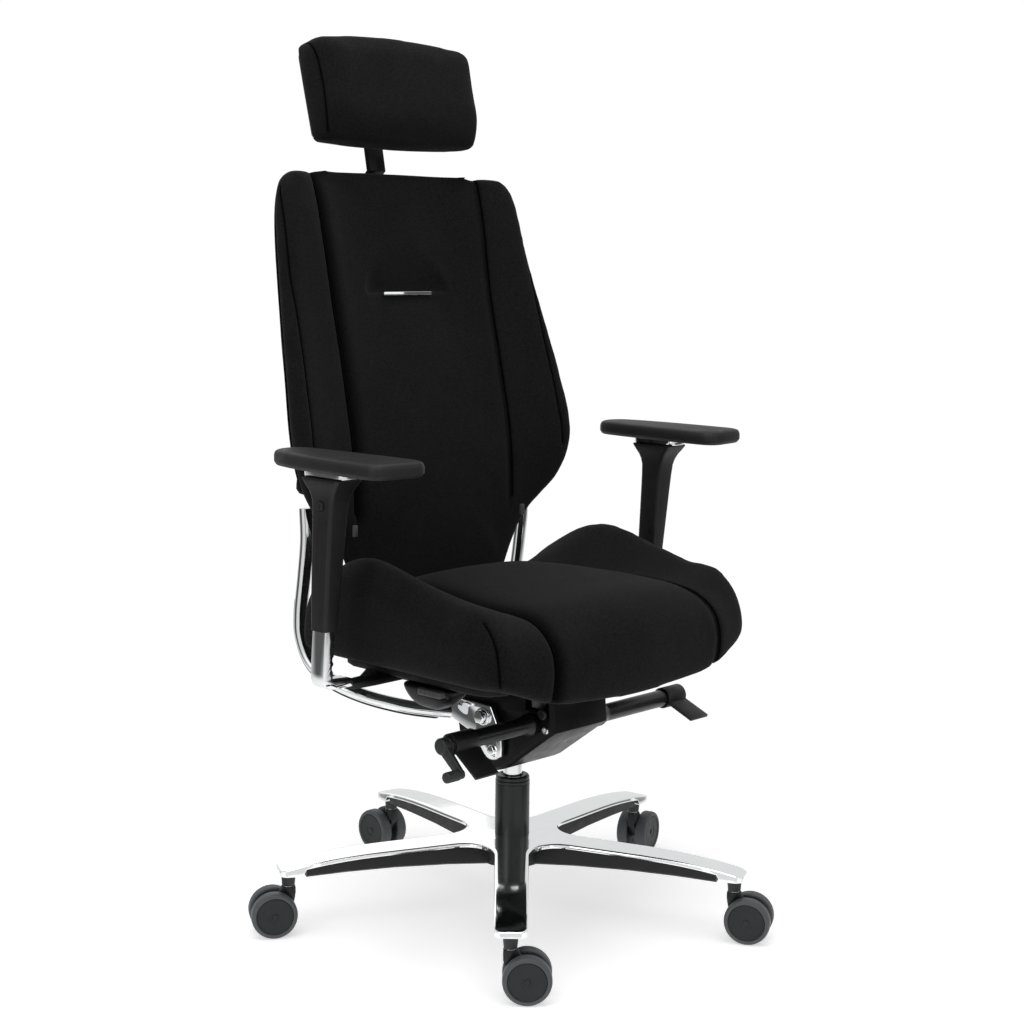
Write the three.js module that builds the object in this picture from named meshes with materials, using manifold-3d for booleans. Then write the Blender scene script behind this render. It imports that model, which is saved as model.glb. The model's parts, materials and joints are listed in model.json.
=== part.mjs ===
// Swivel office chair with headrest, height-adjustable arms and a five-arm base on twin-wheel castors.
// Millimetres, +Z up. The sitter looks along -Y. Left (-X) and right (+X) are as seen from in front.
// The origin is the middle of the chair's bounding box on the floor; the column stands near it.
import * as THREE from 'three';
import { mergeVertices } from 'three/addons/utils/BufferGeometryUtils.js';
import Module from 'manifold-3d';

const wasm = await Module();
wasm.setup();

// ---------- driving dimensions ----------
const gap = 0.4;                      // air between touching pieces
const columnX = -6;                   // column axis, measured from the origin
const columnY = -11;

const arms = 5;
const firstArmAngle = 223.8;          // degrees from +X
const hubHoleRadius = 25.4;
const armHalfWidth = 24;
const armTipHalfWidth = 22;
const armTipRadius = 344.5;
const filletRadius = 45;              // concave round between two arms
const castorRadius = 330;             // column axis to castor stem
const tipUndersideZ = 87.5;
const shellThickness = 6;

const tubeRadius = 25;
const tubeTopZ = 199;
const collarTopZ = 206;
const pistonRadius = 14;
const pistonBottomZ = 72;
const pistonTopZ = 248;

const wheelRadius = 32.5;
const wheelInnerFace = 6.5;
const wheelOuterFace = 25;
const castorTrail = 22;
const castorHeadings = [313.8, 297.5, 17, 88.8, 148.8];   // where each castor trails, degrees from +X
const castorNames = ['front', 'right', 'rear_right', 'rear_left', 'left'];

const axleY = -7;                     // recline axle
const axleZ = 305;
const axleRadius = 8;
const housingHalfWidth = 58;
const tiltPivotY = -100;              // front pivot of the seat frame
const tiltPivotZ = 338;

const armX = 332;                     // centre of an armrest column
const armLean = 0.08;                 // forward shift for each millimetre of height
const armLeanZ = 460;                 // height at which the arm column is at armLeanY
const armLeanY = 29;
const sleeveBottomZ = 460;
const sleeveTopZ = 664;
const padBottomZ = 674;
const padTopZ = 695;
const armButtonZ = 628;
const armButtonRadius = 6;

const postLean = 0.2;                 // rearward shift of the headrest post for each millimetre
const postJog = 12;                   // step back of its lower half, behind the shell
const headTilt = THREE.MathUtils.degToRad(14);
const headPivotY = 315;
const headPivotZ = 1176;

const backLowZ = 472;                 // bottom and top of the back cushion
const backTopZ = 1074;
const slotBarZ = 893;                 // polished bar in the dimple of the backrest
const barHalfWide = 10.5;             // half sizes of the oval bars that carry the backrest
const barHalfThick = 8;

const seatHalf = 270;                 // half width of the seat cushion
const panelHalf = 185;                // half width of its middle panel
const seatPanTopZ = 393.4;
const seatPanLowZ = 383;

// ---------- materials ----------
function finish(color, roughness, metalness) {
  return new THREE.MeshStandardMaterial({ color, roughness, metalness });
}

const fabric = () => finish(0x0b0b0c, 0.95, 0);
const blackPlastic = () => finish(0x141415, 0.5, 0);
const blackMetal = () => finish(0x101113, 0.35, 0.6);
const chrome = () => finish(0xdcdee0, 0.08, 1);
const aluminium = () => finish(0xd5d8da, 0.2, 1);
const greyRubber = () => finish(0x3b3d40, 0.8, 0);
const greyPlastic = () => finish(0x6f7174, 0.5, 0);
const softPad = () => finish(0x161617, 0.6, 0);

// ---------- geometry helpers ----------
const rad = THREE.MathUtils.degToRad;
const lerp = THREE.MathUtils.lerp;
const smooth = (x, a, b) => THREE.MathUtils.smoothstep(x, a, b);

// Leaves position only, joins shared corners and turns the faces outwards.
function closed(geometry) {
  let g = geometry.clone();
  g.deleteAttribute('normal');
  g.deleteAttribute('uv');
  g = mergeVertices(g, 1e-3);
  const p = g.attributes.position;
  const index = g.index.array;
  const a = new THREE.Vector3();
  const b = new THREE.Vector3();
  const c = new THREE.Vector3();
  const kept = [];
  let volume = 0;
  for (let i = 0; i < index.length; i += 3) {
    const [i0, i1, i2] = [index[i], index[i + 1], index[i + 2]];
    if (i0 === i1 || i1 === i2 || i0 === i2) continue;
    kept.push(i0, i1, i2);
    a.fromBufferAttribute(p, i0);
    b.fromBufferAttribute(p, i1);
    c.fromBufferAttribute(p, i2);
    volume += a.dot(b.cross(c));
  }
  if (volume < 0) {
    for (let i = 0; i < kept.length; i += 3) [kept[i + 1], kept[i + 2]] = [kept[i + 2], kept[i + 1]];
  }
  g.setIndex(kept);
  return g;
}

function toSolid(geometry) {
  const g = closed(geometry);
  return new wasm.Manifold(new wasm.Mesh({
    numProp: 3,
    vertProperties: new Float32Array(g.attributes.position.array),
    triVerts: new Uint32Array(g.index.array),
  }));
}

function toGeometry(solid) {
  const mesh = solid.getMesh();
  const g = new THREE.BufferGeometry();
  g.setAttribute('position', new THREE.BufferAttribute(new Float32Array(mesh.vertProperties), 3));
  g.setIndex(new THREE.BufferAttribute(new Uint32Array(mesh.triVerts), 1));
  return g;
}

const union = (...parts) => toGeometry(parts.map(toSolid).reduce((sum, s) => sum.add(s)));

function cut(body, ...tools) {
  return toGeometry(tools.map(toSolid).reduce((left, s) => left.subtract(s), toSolid(body)));
}

const moved = (geometry, x, y, z) => geometry.clone().translate(x, y, z);

// Ring turned about +Z; the profile is a list of [radius, z].
function turned(profile, segments, phase = 0) {
  const points = profile.map(([r, z]) => new THREE.Vector2(r, z));
  if (profile[0][0] > 0) points.push(points[0].clone());
  const g = new THREE.LatheGeometry(points, segments, phase);
  return closed(g.rotateX(Math.PI / 2));
}

const rod = (radius, z0, z1, segments) => turned([[0, z0], [radius, z0], [radius, z1], [0, z1]], segments);

// The same rod laid along +X, from x0 to x1 through (y, z).
function rodX(radius, x0, x1, y, z, segments) {
  return moved(rod(radius, x0, x1, segments).rotateY(Math.PI / 2), 0, y, z);
}

// Copy on the other side of the middle plane x = 0; the +X side keeps the shape as drawn.
const onSide = (geometry, side) => (side > 0 ? geometry : closed(geometry.clone().scale(-1, 1, 1)));

// Closed skin over a row of rings, each with the same number of points, with fan-shaped ends.
function loft(rings) {
  const n = rings[0].length;
  const positions = rings.flat().flatMap((p) => p.toArray());
  const index = [];
  for (let k = 0; k + 1 < rings.length; k += 1) {
    for (let i = 0; i < n; i += 1) {
      const j = (i + 1) % n;
      index.push(k * n + i, k * n + j, (k + 1) * n + i, k * n + j, (k + 1) * n + j, (k + 1) * n + i);
    }
  }
  for (const [k, turn] of [[0, false], [rings.length - 1, true]]) {
    const middle = new THREE.Vector3();
    rings[k].forEach((p) => middle.addScaledVector(p, 1 / n));
    positions.push(...middle.toArray());
    const m = positions.length / 3 - 1;
    for (let i = 0; i < n; i += 1) {
      const j = (i + 1) % n;
      index.push(...(turn ? [m, k * n + i, k * n + j] : [m, k * n + j, k * n + i]));
    }
  }
  const g = new THREE.BufferGeometry();
  g.setAttribute('position', new THREE.Float32BufferAttribute(positions, 3));
  g.setIndex(index);
  return closed(g);
}

const plainRect = (w, d) => [[w, -d], [w, d], [-w, d], [-w, -d]];

// Rectangle of half sizes w and d with corners of radius r, as [x, y] points.
function roundRect(w, d, r, steps = 2) {
  const points = [];
  plainRect(w - r, d - r).forEach(([x, y], corner) => {
    for (let s = 0; s <= steps; s += 1) {
      const t = rad(-90 + 90 * corner + (90 * s) / steps);
      points.push([x + r * Math.cos(t), y + r * Math.sin(t)]);
    }
  });
  return points;
}

// A few hundredths of a millimetre of unevenness, so that no four corners lie in one plane.
const uneven = (p) => new THREE.Vector3(
  p.x + 0.03 * Math.sin(1.7 * p.y + 0.9 * p.z),
  p.y + 0.03 * Math.sin(1.3 * p.z + 2.1 * p.x),
  p.z + 0.03 * Math.sin(2.3 * p.x + 1.1 * p.y));

const ringAt = (outline, x, y, z) => outline.map(([px, py]) => new THREE.Vector3(x + px, y + py, z));

const shapeOf = (points) => new THREE.Shape(points.map(([x, y]) => new THREE.Vector2(x, y)));

// Prism of a [y, z] outline between two x values, with chamfered edges.
function prismX(points, x0, x1, bevel = 0) {
  const g = new THREE.ExtrudeGeometry(shapeOf(points), {
    depth: x1 - x0 - 2 * bevel,
    bevelEnabled: bevel > 0,
    bevelSize: bevel,
    bevelOffset: -bevel,
    bevelThickness: bevel,
    bevelSegments: 1,
    curveSegments: 6,
  });
  g.translate(0, 0, x0 + bevel);
  const turn = new THREE.Matrix4().makeBasis(
    new THREE.Vector3(0, 1, 0), new THREE.Vector3(0, 0, 1), new THREE.Vector3(1, 0, 0));
  return closed(g.applyMatrix4(turn));
}

// Plate of an [x, y] outline between two z values, with chamfered edges.
function plate(points, z0, z1, bevel = 0) {
  const g = new THREE.ExtrudeGeometry(shapeOf(points), {
    depth: z1 - z0 - 2 * bevel,
    bevelEnabled: bevel > 0,
    bevelSize: bevel,
    bevelOffset: -bevel,
    bevelThickness: bevel,
    bevelSegments: 1,
  });
  return closed(g.translate(0, 0, z0 + bevel));
}

// Smooth curve through hand-picked [position, value] pairs.
function along(pairs) {
  const keys = pairs.map(([key]) => key);
  const curve = new THREE.SplineCurve(pairs.map(([key, value]) => new THREE.Vector2(key, value)));
  return (x) => {
    if (x <= keys[0]) return pairs[0][1];
    if (x >= keys[keys.length - 1]) return pairs[pairs.length - 1][1];
    const i = keys.findIndex((key) => key > x) - 1;
    const t = (i + (x - keys[i]) / (keys[i + 1] - keys[i])) / (keys.length - 1);
    return curve.getPoint(t).y;
  };
}

// ---------- assembly ----------
const chair = new THREE.Group();
const column = new THREE.Group();     // everything is placed from the column axis on the floor
const sides = [[-1, 'left'], [1, 'right']];
column.position.set(columnX, columnY, 0);
chair.add(column);

function add(parent, name, geometry, material) {
  const mesh = new THREE.Mesh(geometry, material);
  mesh.name = name;
  parent.add(mesh);
  return mesh;
}

// ---------- five-arm base ----------
const armTop = (r) => 119 - 0.03 * r - 12.7 * Math.max(0, (r - 180) / 163) ** 2.5;

function armBottom(r) {
  const shell = armTop(r) - shellThickness;
  return lerp(shell, tipUndersideZ, smooth(r, 308, 314));
}

function armWidth(r) {
  const flareStart = (armHalfWidth + filletRadius) / Math.tan(rad(180 / arms));
  const plain = lerp(armHalfWidth, armTipHalfWidth, smooth(r, 100, castorRadius));
  if (r > castorRadius) {
    return plain - 8 * ((r - castorRadius) / (armTipRadius - castorRadius)) ** 3;
  }
  if (r >= flareStart) return plain;
  const drop = Math.min(flareStart - r, filletRadius * 0.98);
  const flare = armHalfWidth + filletRadius - Math.sqrt(filletRadius ** 2 - drop ** 2);
  return Math.min(flare, r * Math.tan(rad(180 / arms)) + 0.5);
}

function baseArm() {
  const stations = [22, 58.6, 66, 78, 95, 180, 240, 285, 308, 314, 330, 339, armTipRadius];
  return loft(stations.map((r) => {
    const w = armWidth(r);
    const top = armTop(r);
    const low = armBottom(r);
    return [[-w + 1, low], [-w, top - 2.2], [-w + 2, top - 0.6], [0, top],
      [w - 2, top - 0.6], [w, top - 2.2], [w - 1, low]]
      .map(([side, z]) => new THREE.Vector3(r, side, z));
  }));
}

function starBase() {
  const hub = turned([[20, 79], [33, 79], [38, 106], [44, 114], [44, 117], [20, 117]], 28);
  const pieces = [hub];
  const holes = [rod(hubHoleRadius, 60, 140, 28)];
  for (let i = 0; i < arms; i += 1) {
    const angle = rad(firstArmAngle + (360 / arms) * i);
    pieces.push(baseArm().rotateZ(angle));
    const hole = moved(rod(5.9, tipUndersideZ - 5, tipUndersideZ + 7.6, 12), castorRadius, 0, 0);
    holes.push(hole.rotateZ(angle));
  }
  return cut(union(...pieces), ...holes);
}

function underCover() {
  const hub = turned([[38.6, 79.5], [45, 79.5], [47, 106], [44.8, 106]], 28);
  const ribs = [];
  for (let i = 0; i < arms; i += 1) {
    const rings = [41, 100, 180, 250, 307].map((r) => {
      const low = 86 - (r < 200 ? 7.5 * ((200 - r) / 170) ** 2 : 3 * ((r - 200) / 115) ** 2);
      const top = armTop(r) - shellThickness - gap;
      const w = lerp(20, 17, r / castorRadius);
      return [[-w + 4, low], [-w, low + 3], [-w, top], [w, top], [w, low + 3], [w - 4, low]]
        .map(([side, z]) => new THREE.Vector3(r, side, z));
    });
    ribs.push(loft(rings).rotateZ(rad(firstArmAngle + (360 / arms) * i)));
  }
  // The hub skirt stays under the polished shell and outside its boss.
  const boss = turned([[20, 60], [38.4, 60], [38.4, 106.5], [44.4, 113.6], [44.4, 130], [20, 130]], 28);
  return cut(union(hub, ...ribs), boss);
}

function gasSpringTube() {
  const bore = 14.8;
  return turned([[0, 62], [23, 62], [tubeRadius, 66], [tubeRadius, tubeTopZ], [bore, tubeTopZ], [bore, 68],
    [0, 68]], 28);
}

function columnCollar() {
  const low = tubeTopZ + gap;
  return turned([[14.9, low], [26.2, low], [26.2, collarTopZ - 1.5], [24.8, collarTopZ],
    [14.9, collarTopZ]], 28);
}

add(column, 'star_base', starBase(), aluminium());
add(column, 'star_base_under_cover', underCover(), blackPlastic());
add(column, 'gas_spring_tube', gasSpringTube(), blackMetal());
add(column, 'column_collar', columnCollar(), blackPlastic());
add(column, 'gas_spring_piston', rod(pistonRadius, pistonBottomZ, pistonTopZ, 24), chrome());

// ---------- castors ----------
function castorStem() {
  return turned([[0, 52], [5.4, 52], [5.4, 69.8], [8.8, 69.8], [10.2, tipUndersideZ - gap],
    [5.4, tipUndersideZ - gap], [5.4, tipUndersideZ + 7], [0, tipUndersideZ + 7]], 16);
}

// Moulding between the wheels, with the collar round the stem and the two ends of the axle.
function castorHousing() {
  const side = new THREE.Shape();
  side.moveTo(-9.5, 68);
  side.lineTo(-9.5, 60);
  side.quadraticCurveTo(-9, 40, 8, 27);
  side.quadraticCurveTo(castorTrail, 18, castorTrail + 11, 27);
  side.quadraticCurveTo(castorTrail + 14, 44, castorTrail + 2, 56);
  side.quadraticCurveTo(12, 60, 9.5, 68);
  const thickness = 2 * (wheelInnerFace - 1);
  const web = new THREE.ExtrudeGeometry(side, { depth: thickness, bevelEnabled: false, curveSegments: 3 });
  web.translate(0, 0, -thickness / 2).rotateX(Math.PI / 2);
  const collar = rod(9.5, 52, 69.4, 16);
  const axle = moved(rod(4, -21, 21, 10).rotateX(Math.PI / 2), castorTrail, 0, wheelRadius);
  const wheelSpace = [-1, 1].map((s) => {
    const disc = rod(wheelRadius + 1.2, wheelInnerFace - gap, 30, 24).rotateX((s * Math.PI) / 2);
    return moved(disc, castorTrail, 0, wheelRadius);
  });
  return cut(union(cut(union(web, collar), ...wheelSpace), axle), rod(5.9, 51.6, 90, 16));
}

// Wheel with a flat facet at the bottom, its inner face towards the housing at y = 0.
function castorWheel(side) {
  const segments = 20;
  const rim = wheelRadius / Math.cos(Math.PI / segments);
  const profile = [[4.4, wheelInnerFace], [rim, wheelInnerFace], [rim, 21.5], [rim - 3, wheelOuterFace],
    [4.4, wheelOuterFace]];
  const wheel = turned(profile, segments, Math.PI / segments);
  wheel.rotateX(side > 0 ? -Math.PI / 2 : Math.PI / 2);
  return closed(wheel);
}

for (let i = 0; i < arms; i += 1) {
  const angle = rad(firstArmAngle + (360 / arms) * i);
  const castor = new THREE.Group();
  castor.position.set(castorRadius * Math.cos(angle), castorRadius * Math.sin(angle), 0);
  castor.rotation.z = rad(castorHeadings[i]);
  column.add(castor);
  add(castor, `castor_${castorNames[i]}_stem`, castorStem(), chrome());
  add(castor, `castor_${castorNames[i]}_housing`, castorHousing(), blackPlastic());
  for (const [side, word] of [[1, 'a'], [-1, 'b']]) {
    const wheel = add(castor, `castor_${castorNames[i]}_wheel_${word}`, castorWheel(side), greyRubber());
    wheel.position.set(castorTrail, 0, wheelRadius);
  }
}

// ---------- mechanism ----------
function mechanismHousing() {
  const side = new THREE.Shape();
  side.moveTo(-128, 350);
  side.lineTo(-132, 300);
  side.lineTo(-118, 290);
  side.lineTo(-45, 236);
  side.quadraticCurveTo(-24, 223, 0, 223);
  side.quadraticCurveTo(38, 223, 52, 250);
  side.lineTo(66, 322);
  side.lineTo(60, 332);
  side.lineTo(20, 340);
  const outline = side.getPoints(4).map((p) => [p.x, p.y]);
  const body = prismX(outline, -housingHalfWidth, housingHalfWidth, 5);
  const socket = rod(pistonRadius + gap, 200, pistonTopZ + 3, 32);
  const axleHole = rodX(axleRadius + gap, -90, 90, axleY, axleZ, 20);
  const slot = prismX(plainRect(22, 22).map(([y, z]) => [tiltPivotY + y, tiltPivotZ + 10 + z]), 44, 70);
  const pivotSlots = [1, -1].map((s) => onSide(slot, s));
  return cut(body, socket, axleHole, ...pivotSlots);
}

// Hexagon round a centre, for bolt heads.
function hexagon(radius, y, z) {
  return Array.from({ length: 6 }, (_, k) => {
    const a = rad(60 * k);
    return [y + radius * Math.cos(a), z + radius * Math.sin(a)];
  });
}

function mainAxle() {
  const shaft = rodX(axleRadius, -76, 76, axleY, axleZ, 20);
  const head = prismX(hexagon(10, axleY, axleZ), 74, 80, 1);
  return union(shaft, head, onSide(head, -1));
}

const leftTube = { y: -90, z: 307, radius: 12, from: 58 + gap, to: 222 };
const rightTube = { y: -105, z: 302, radius: 12.5, from: 58 + gap, to: 250 };

function leverTube(tube, side) {
  const profile = [[0, tube.from], [tube.radius + 4, tube.from], [tube.radius + 4, tube.from + 10],
    [tube.radius, tube.from + 16], [tube.radius, tube.to - 2], [tube.radius - 2, tube.to], [0, tube.to]];
  return moved(turned(profile, 24).rotateY((side * Math.PI) / 2), 0, tube.y, tube.z);
}

// Flat paddle that hangs forward and down from a sleeve round its tube.
function paddle(tube, x0, x1, length, dropDegrees) {
  const clear = tube.radius + 0.5;
  const sleeve = turned([[clear, x0], [clear + 2.5, x0], [clear + 2.5, x1], [clear, x1]], 24)
    .rotateY(Math.PI / 2);
  const blade = prismX([[-clear - 0.6, -2], [-clear - 0.6, 2], [-clear - length, 2], [-clear - length, -2]],
    x0, x1, 0);
  blade.rotateX(rad(dropDegrees));
  return moved(union(sleeve, blade), 0, tube.y, tube.z);
}

function tensionCrank() {
  const x0 = -leftTube.to - gap;
  const hub = rodX(11, x0 - 12, x0, 0, 0, 20);
  const arm = prismX([[-46, -6], [0, -9], [0, 9], [-46, 6]], x0 - 9, x0 - 3, 1);
  const knob = rodX(7.5, x0 - 34, x0 - 3, -46, 0, 16);
  return moved(union(hub, arm, knob).rotateX(rad(42)), 0, leftTube.y, leftTube.z);
}

const mechanism = new THREE.Group();
column.add(mechanism);
add(mechanism, 'mechanism_housing', mechanismHousing(), blackMetal());
add(mechanism, 'main_axle', mainAxle(), chrome());
add(mechanism, 'lever_tube_left', leverTube(leftTube, -1), blackPlastic());
add(mechanism, 'lever_tube_right', leverTube(rightTube, 1), blackPlastic());
add(mechanism, 'tension_crank', tensionCrank(), blackPlastic());
add(mechanism, 'tilt_lock_lever', paddle(leftTube, -216, -174, 50, 36), blackPlastic());
add(mechanism, 'height_lever', paddle(rightTube, 208, 247, 48, 22), blackPlastic());

// ---------- carrier of the backrest ----------
// Polished bar: up behind the cushion, round a wide bend and forward under the seat to the axle.
function barPath(side) {
  const points = [[220, 200, 594], [220, 198, 550], [220, 204, 498], [220, 212, 440], [219, 211, 408],
    [214, 196, 372], [203, 166, 349], [180, 126, 331], [140, 84, 316], [102, 55, 308], [84, 45, 305]];
  return new THREE.CatmullRomCurve3(points.map(([x, y, z]) => new THREE.Vector3(side * x, y, z)), false,
    'centripetal');
}

function backBar(side) {
  const path = barPath(side);
  const steps = 18;
  const around = 10;
  const rings = [];
  for (let k = 0; k <= steps; k += 1) {
    const p = path.getPointAt(k / steps);
    const t = path.getTangentAt(k / steps);
    const across = new THREE.Vector3(side, 0, 0).addScaledVector(t, -side * t.x).normalize();
    const out = new THREE.Vector3().crossVectors(t, across);
    rings.push(Array.from({ length: around }, (_, i) => {
      const a = rad((360 / around) * i);
      return p.clone()
        .addScaledVector(across, barHalfWide * Math.cos(a))
        .addScaledVector(out, barHalfThick * Math.sin(a));
    }));
  }
  return loft(rings);
}

// Polished cheek that turns on the main axle and takes the bar's front end.
function sidePlate(side) {
  const outline = new THREE.Shape();
  outline.moveTo(-22, 322);
  outline.lineTo(58, 322);
  outline.quadraticCurveTo(68, 310, 58, 292);
  outline.lineTo(10, 276);
  outline.lineTo(-12, 248);
  outline.quadraticCurveTo(-28, 240, -42, 252);
  outline.quadraticCurveTo(-48, 275, -34, 300);
  const body = prismX(outline.getPoints(4).map((p) => [p.x, p.y]), 62, 70, 1);
  const bolt = prismX(hexagon(8, -27, 259), 69, 75, 1);
  const hole = rodX(axleRadius + gap, 50, 90, axleY, axleZ, 20);
  return onSide(cut(union(body, bolt), hole), side);
}

// Back cushion outline by height: half width, front of the panel, front and rear of the side edge.
const backHalf = along([[backLowZ, 160], [500, 172], [540, 190], [558, 214], [588, 246], [620, 270],
  [672, 287], [740, 284], [820, 274], [900, 263], [1000, 250], [1040, 243], [1062, 230], [1070, 214],
  [backTopZ, 196]]);
const panelY = along([[backLowZ, 157], [560, 158], [620, 162], [680, 171], [740, 186], [800, 204], [893, 232],
  [980, 250], [backTopZ, 266]]);
const sideFrontY = along([[backLowZ, 162], [560, 158], [600, 137], [675, 128], [740, 142], [820, 164],
  [900, 188], [1000, 211], [backTopZ, 228]]);
const sideRearY = along([[backLowZ, 182], [560, 182], [600, 174], [675, 170], [740, 182], [820, 202],
  [900, 226], [1000, 252], [backTopZ, 268]]);
const rearY = along([[backLowZ, 184], [560, 186], [610, 192], [680, 209], [740, 224], [820, 243], [900, 263],
  [1000, 282], [backTopZ, 288]]);

function backFront(x, z) {
  const t = smooth(Math.abs(x) / backHalf(z), 0.62, 1);
  return lerp(panelY(z), sideFrontY(z), t);
}

function backRear(x, z) {
  return lerp(rearY(z), sideRearY(z), (Math.abs(x) / backHalf(z)) ** 2.4);
}

function backCushion() {
  const heights = [backLowZ, 478, 500, 545, 570, 590, 612, 640, 680, 730, 790, 850, 910, 960, 1010, 1040,
    1058, 1069, backTopZ];
  const across = [-0.96, -0.84, -0.66, -0.42, -0.14, 0.14, 0.42, 0.66, 0.84, 0.96];
  const back = [0.96, 0.76, 0.46, 0.16, -0.16, -0.46, -0.76, -0.96];
  return loft(heights.map((z) => {
    const w = backHalf(z);
    const end = smooth(Math.min(z - backLowZ, backTopZ - z), 0, 8);
    const middle = (sideFrontY(z) + sideRearY(z)) / 2;
    const inset = (x) => lerp(Math.min(10, 0.3 * (backRear(x, z) - backFront(x, z))), 0, end);
    return [
      ...across.map((u) => [u * w, backFront(u * w, z) + inset(u * w)]), [w, middle],
      ...back.map((u) => [u * w, backRear(u * w, z) - inset(u * w)]), [-w, middle],
    ].map(([x, y]) => uneven(new THREE.Vector3(x, y, z)));
  }));
}

// Moulded sheet of even thickness that follows the rear of the back cushion.
function followRear(halfWidth, heights, offset, thickness) {
  const steps = [-1, -0.82, -0.6, -0.36, -0.12, 0.12, 0.36, 0.6, 0.82, 1];
  return loft(heights.map((z) => {
    const w = halfWidth(z);
    const near = steps.map((u) => new THREE.Vector3(u * w, backRear(u * w, z) + offset, z));
    const far = steps.map((u) => new THREE.Vector3(u * w, backRear(u * w, z) + offset + thickness, z));
    return [...near, ...far.reverse()].map(uneven);
  }));
}

const shellHeights = [604, 630, 680, 740, 800, 860, 920, 980, 1030, 1052, 1062];
const shellHalf = (z) => backHalf(z) - 16 - 12 * smooth(z, 1000, 1062);
const backShell = () => followRear(shellHalf, shellHeights, 2, 6);

const coverHalf = (z) => lerp(243, 190, smooth(z, 600, 760));
const carrierCover = () => followRear(coverHalf, [600, 630, 660, 700, 740, 764], 18, 10);

// Bracket on the shell that the headrest post slides in.
const postY = (z) => 301 + postLean * (z - 1085);

function headrestGuide() {
  const centre = (z) => postY(z) + postJog;
  const block = (w, d, shift, heights) => loft(heights
    .map((z) => ringAt(plainRect(w, d), 0, centre(z) + shift, z)));
  const body = block(27, 9.5, 1.5, [935, 1025]);
  const slot = block(15.8, 5.2, 0, [900, 1060]);
  const cushionAndShell = followRear(() => 60, shellHeights.slice(5, 10), 9 - 60, 60);
  return cut(body, slot, cushionAndShell);
}

const carrier = new THREE.Group();
column.add(carrier);
for (const [side, word] of sides) {
  add(carrier, `back_bar_${word}`, backBar(side), chrome());
  add(carrier, `side_plate_${word}`, sidePlate(side), chrome());
}
add(carrier, 'back_carrier_cover', carrierCover(), blackPlastic());
add(carrier, 'back_shell', backShell(), blackPlastic());
add(carrier, 'back_cushion', backCushion(), fabric());
const slotBar = new THREE.BoxGeometry(95, 3, 5).translate(0, panelY(slotBarZ) - 3.6, slotBarZ);
add(carrier, 'back_slot_bar', slotBar, chrome());

// ---------- headrest ----------
function headrestPost() {
  const blade = loft([[945, postJog], [1064, postJog], [1073, 0], [1171, 0]]
    .map(([z, back]) => ringAt(plainRect(15, 4.5), 0, postY(z) + back, z)));
  const barrel = rodX(9, -16, 16, headPivotY, headPivotZ, 20);
  return cut(union(blade, barrel), rodX(4.4, -30, 30, headPivotY, headPivotZ, 16));
}

// Outline of the headrest seen from the front, as [x, z] about the pivot.
function headOutline(inset) {
  const shape = new THREE.Shape();
  const w = 150 - inset;
  const low = -86 + inset;
  shape.moveTo(-w + 30, low);
  shape.quadraticCurveTo(0, low - 7, w - 30, low);
  shape.quadraticCurveTo(w - 4, low + 2, w - 5, low + 26);
  shape.quadraticCurveTo(w, 0, w + 1, 43 - inset);
  shape.quadraticCurveTo(w, 60 - inset, w - 24, 63 - inset);
  shape.quadraticCurveTo(0, 91 - inset, -w + 24, 63 - inset);
  shape.quadraticCurveTo(-w, 60 - inset, -w - 1, 43 - inset);
  shape.quadraticCurveTo(-w, 0, -w + 5, low + 26);
  shape.quadraticCurveTo(-w + 4, low + 2, -w + 30, low);
  return shape.getPoints(3).slice(0, -1).map((p) => [p.x, p.y]);
}

// Cushion and plate are outlines stacked from front to rear, as [inset, y] about the pivot.
const headLayers = (layers) => loft(layers.map(([inset, y]) => headOutline(inset)
  .map(([x, z]) => new THREE.Vector3(x, y, z))));

const headrestCushion = () => headLayers([[30, -83], [12, -79], [2, -70], [0, -54], [1, -36], [6, -31]]);

const headrestPlate = () => headLayers([[2, -30.5], [2, -26.5]]);

// Clevis on the plate, with the hinge pin pressed into its two ears.
function headrestBracket() {
  const base = new THREE.BoxGeometry(52, 5, 44).translate(0, -23.6, 0);
  const ears = [-1, 1].map((s) => new THREE.BoxGeometry(6, 32, 22).translate(s * 20, -9, 0));
  return union(base, ...ears, rodX(4, -25, 25, 0, 0, 16));
}

add(carrier, 'headrest_guide', headrestGuide(), blackPlastic());
add(carrier, 'headrest_post', headrestPost(), blackMetal());
const headrest = new THREE.Group();
headrest.position.set(0, headPivotY, headPivotZ);
headrest.rotation.x = -headTilt;
carrier.add(headrest);
add(headrest, 'headrest_bracket', headrestBracket(), blackPlastic());
add(headrest, 'headrest_plate', headrestPlate(), chrome());
add(headrest, 'headrest_cushion', headrestCushion(), fabric());

// ---------- seat ----------
const seatFrontY = (x) => -252 + 42 * (Math.abs(x) / seatHalf) ** 3;
const seatRearY = (x) => 144 + 26 * smooth(Math.abs(x), 150, 250);
const panelTop = along([[-252, 462], [-240, 480], [-215, 490], [-170, 498], [-100, 504], [0, 507],
  [146, 506]]);
const bolsterTop = along([[-252, 440], [-225, 462], [-200, 483], [-150, 506], [-100, 523], [-40, 538],
  [25, 546], [75, 541], [110, 528], [145, 508], [172, 490]]);

function seatTop(x, y) {
  const u = Math.abs(x);
  const rise = smooth(u, panelHalf - 40, 238);
  const fall = 22 * smooth(u, 246, seatHalf);
  return lerp(panelTop(y), bolsterTop(y), rise) - 4 * (u / panelHalf) ** 2 * (1 - rise) - fall;
}

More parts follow.
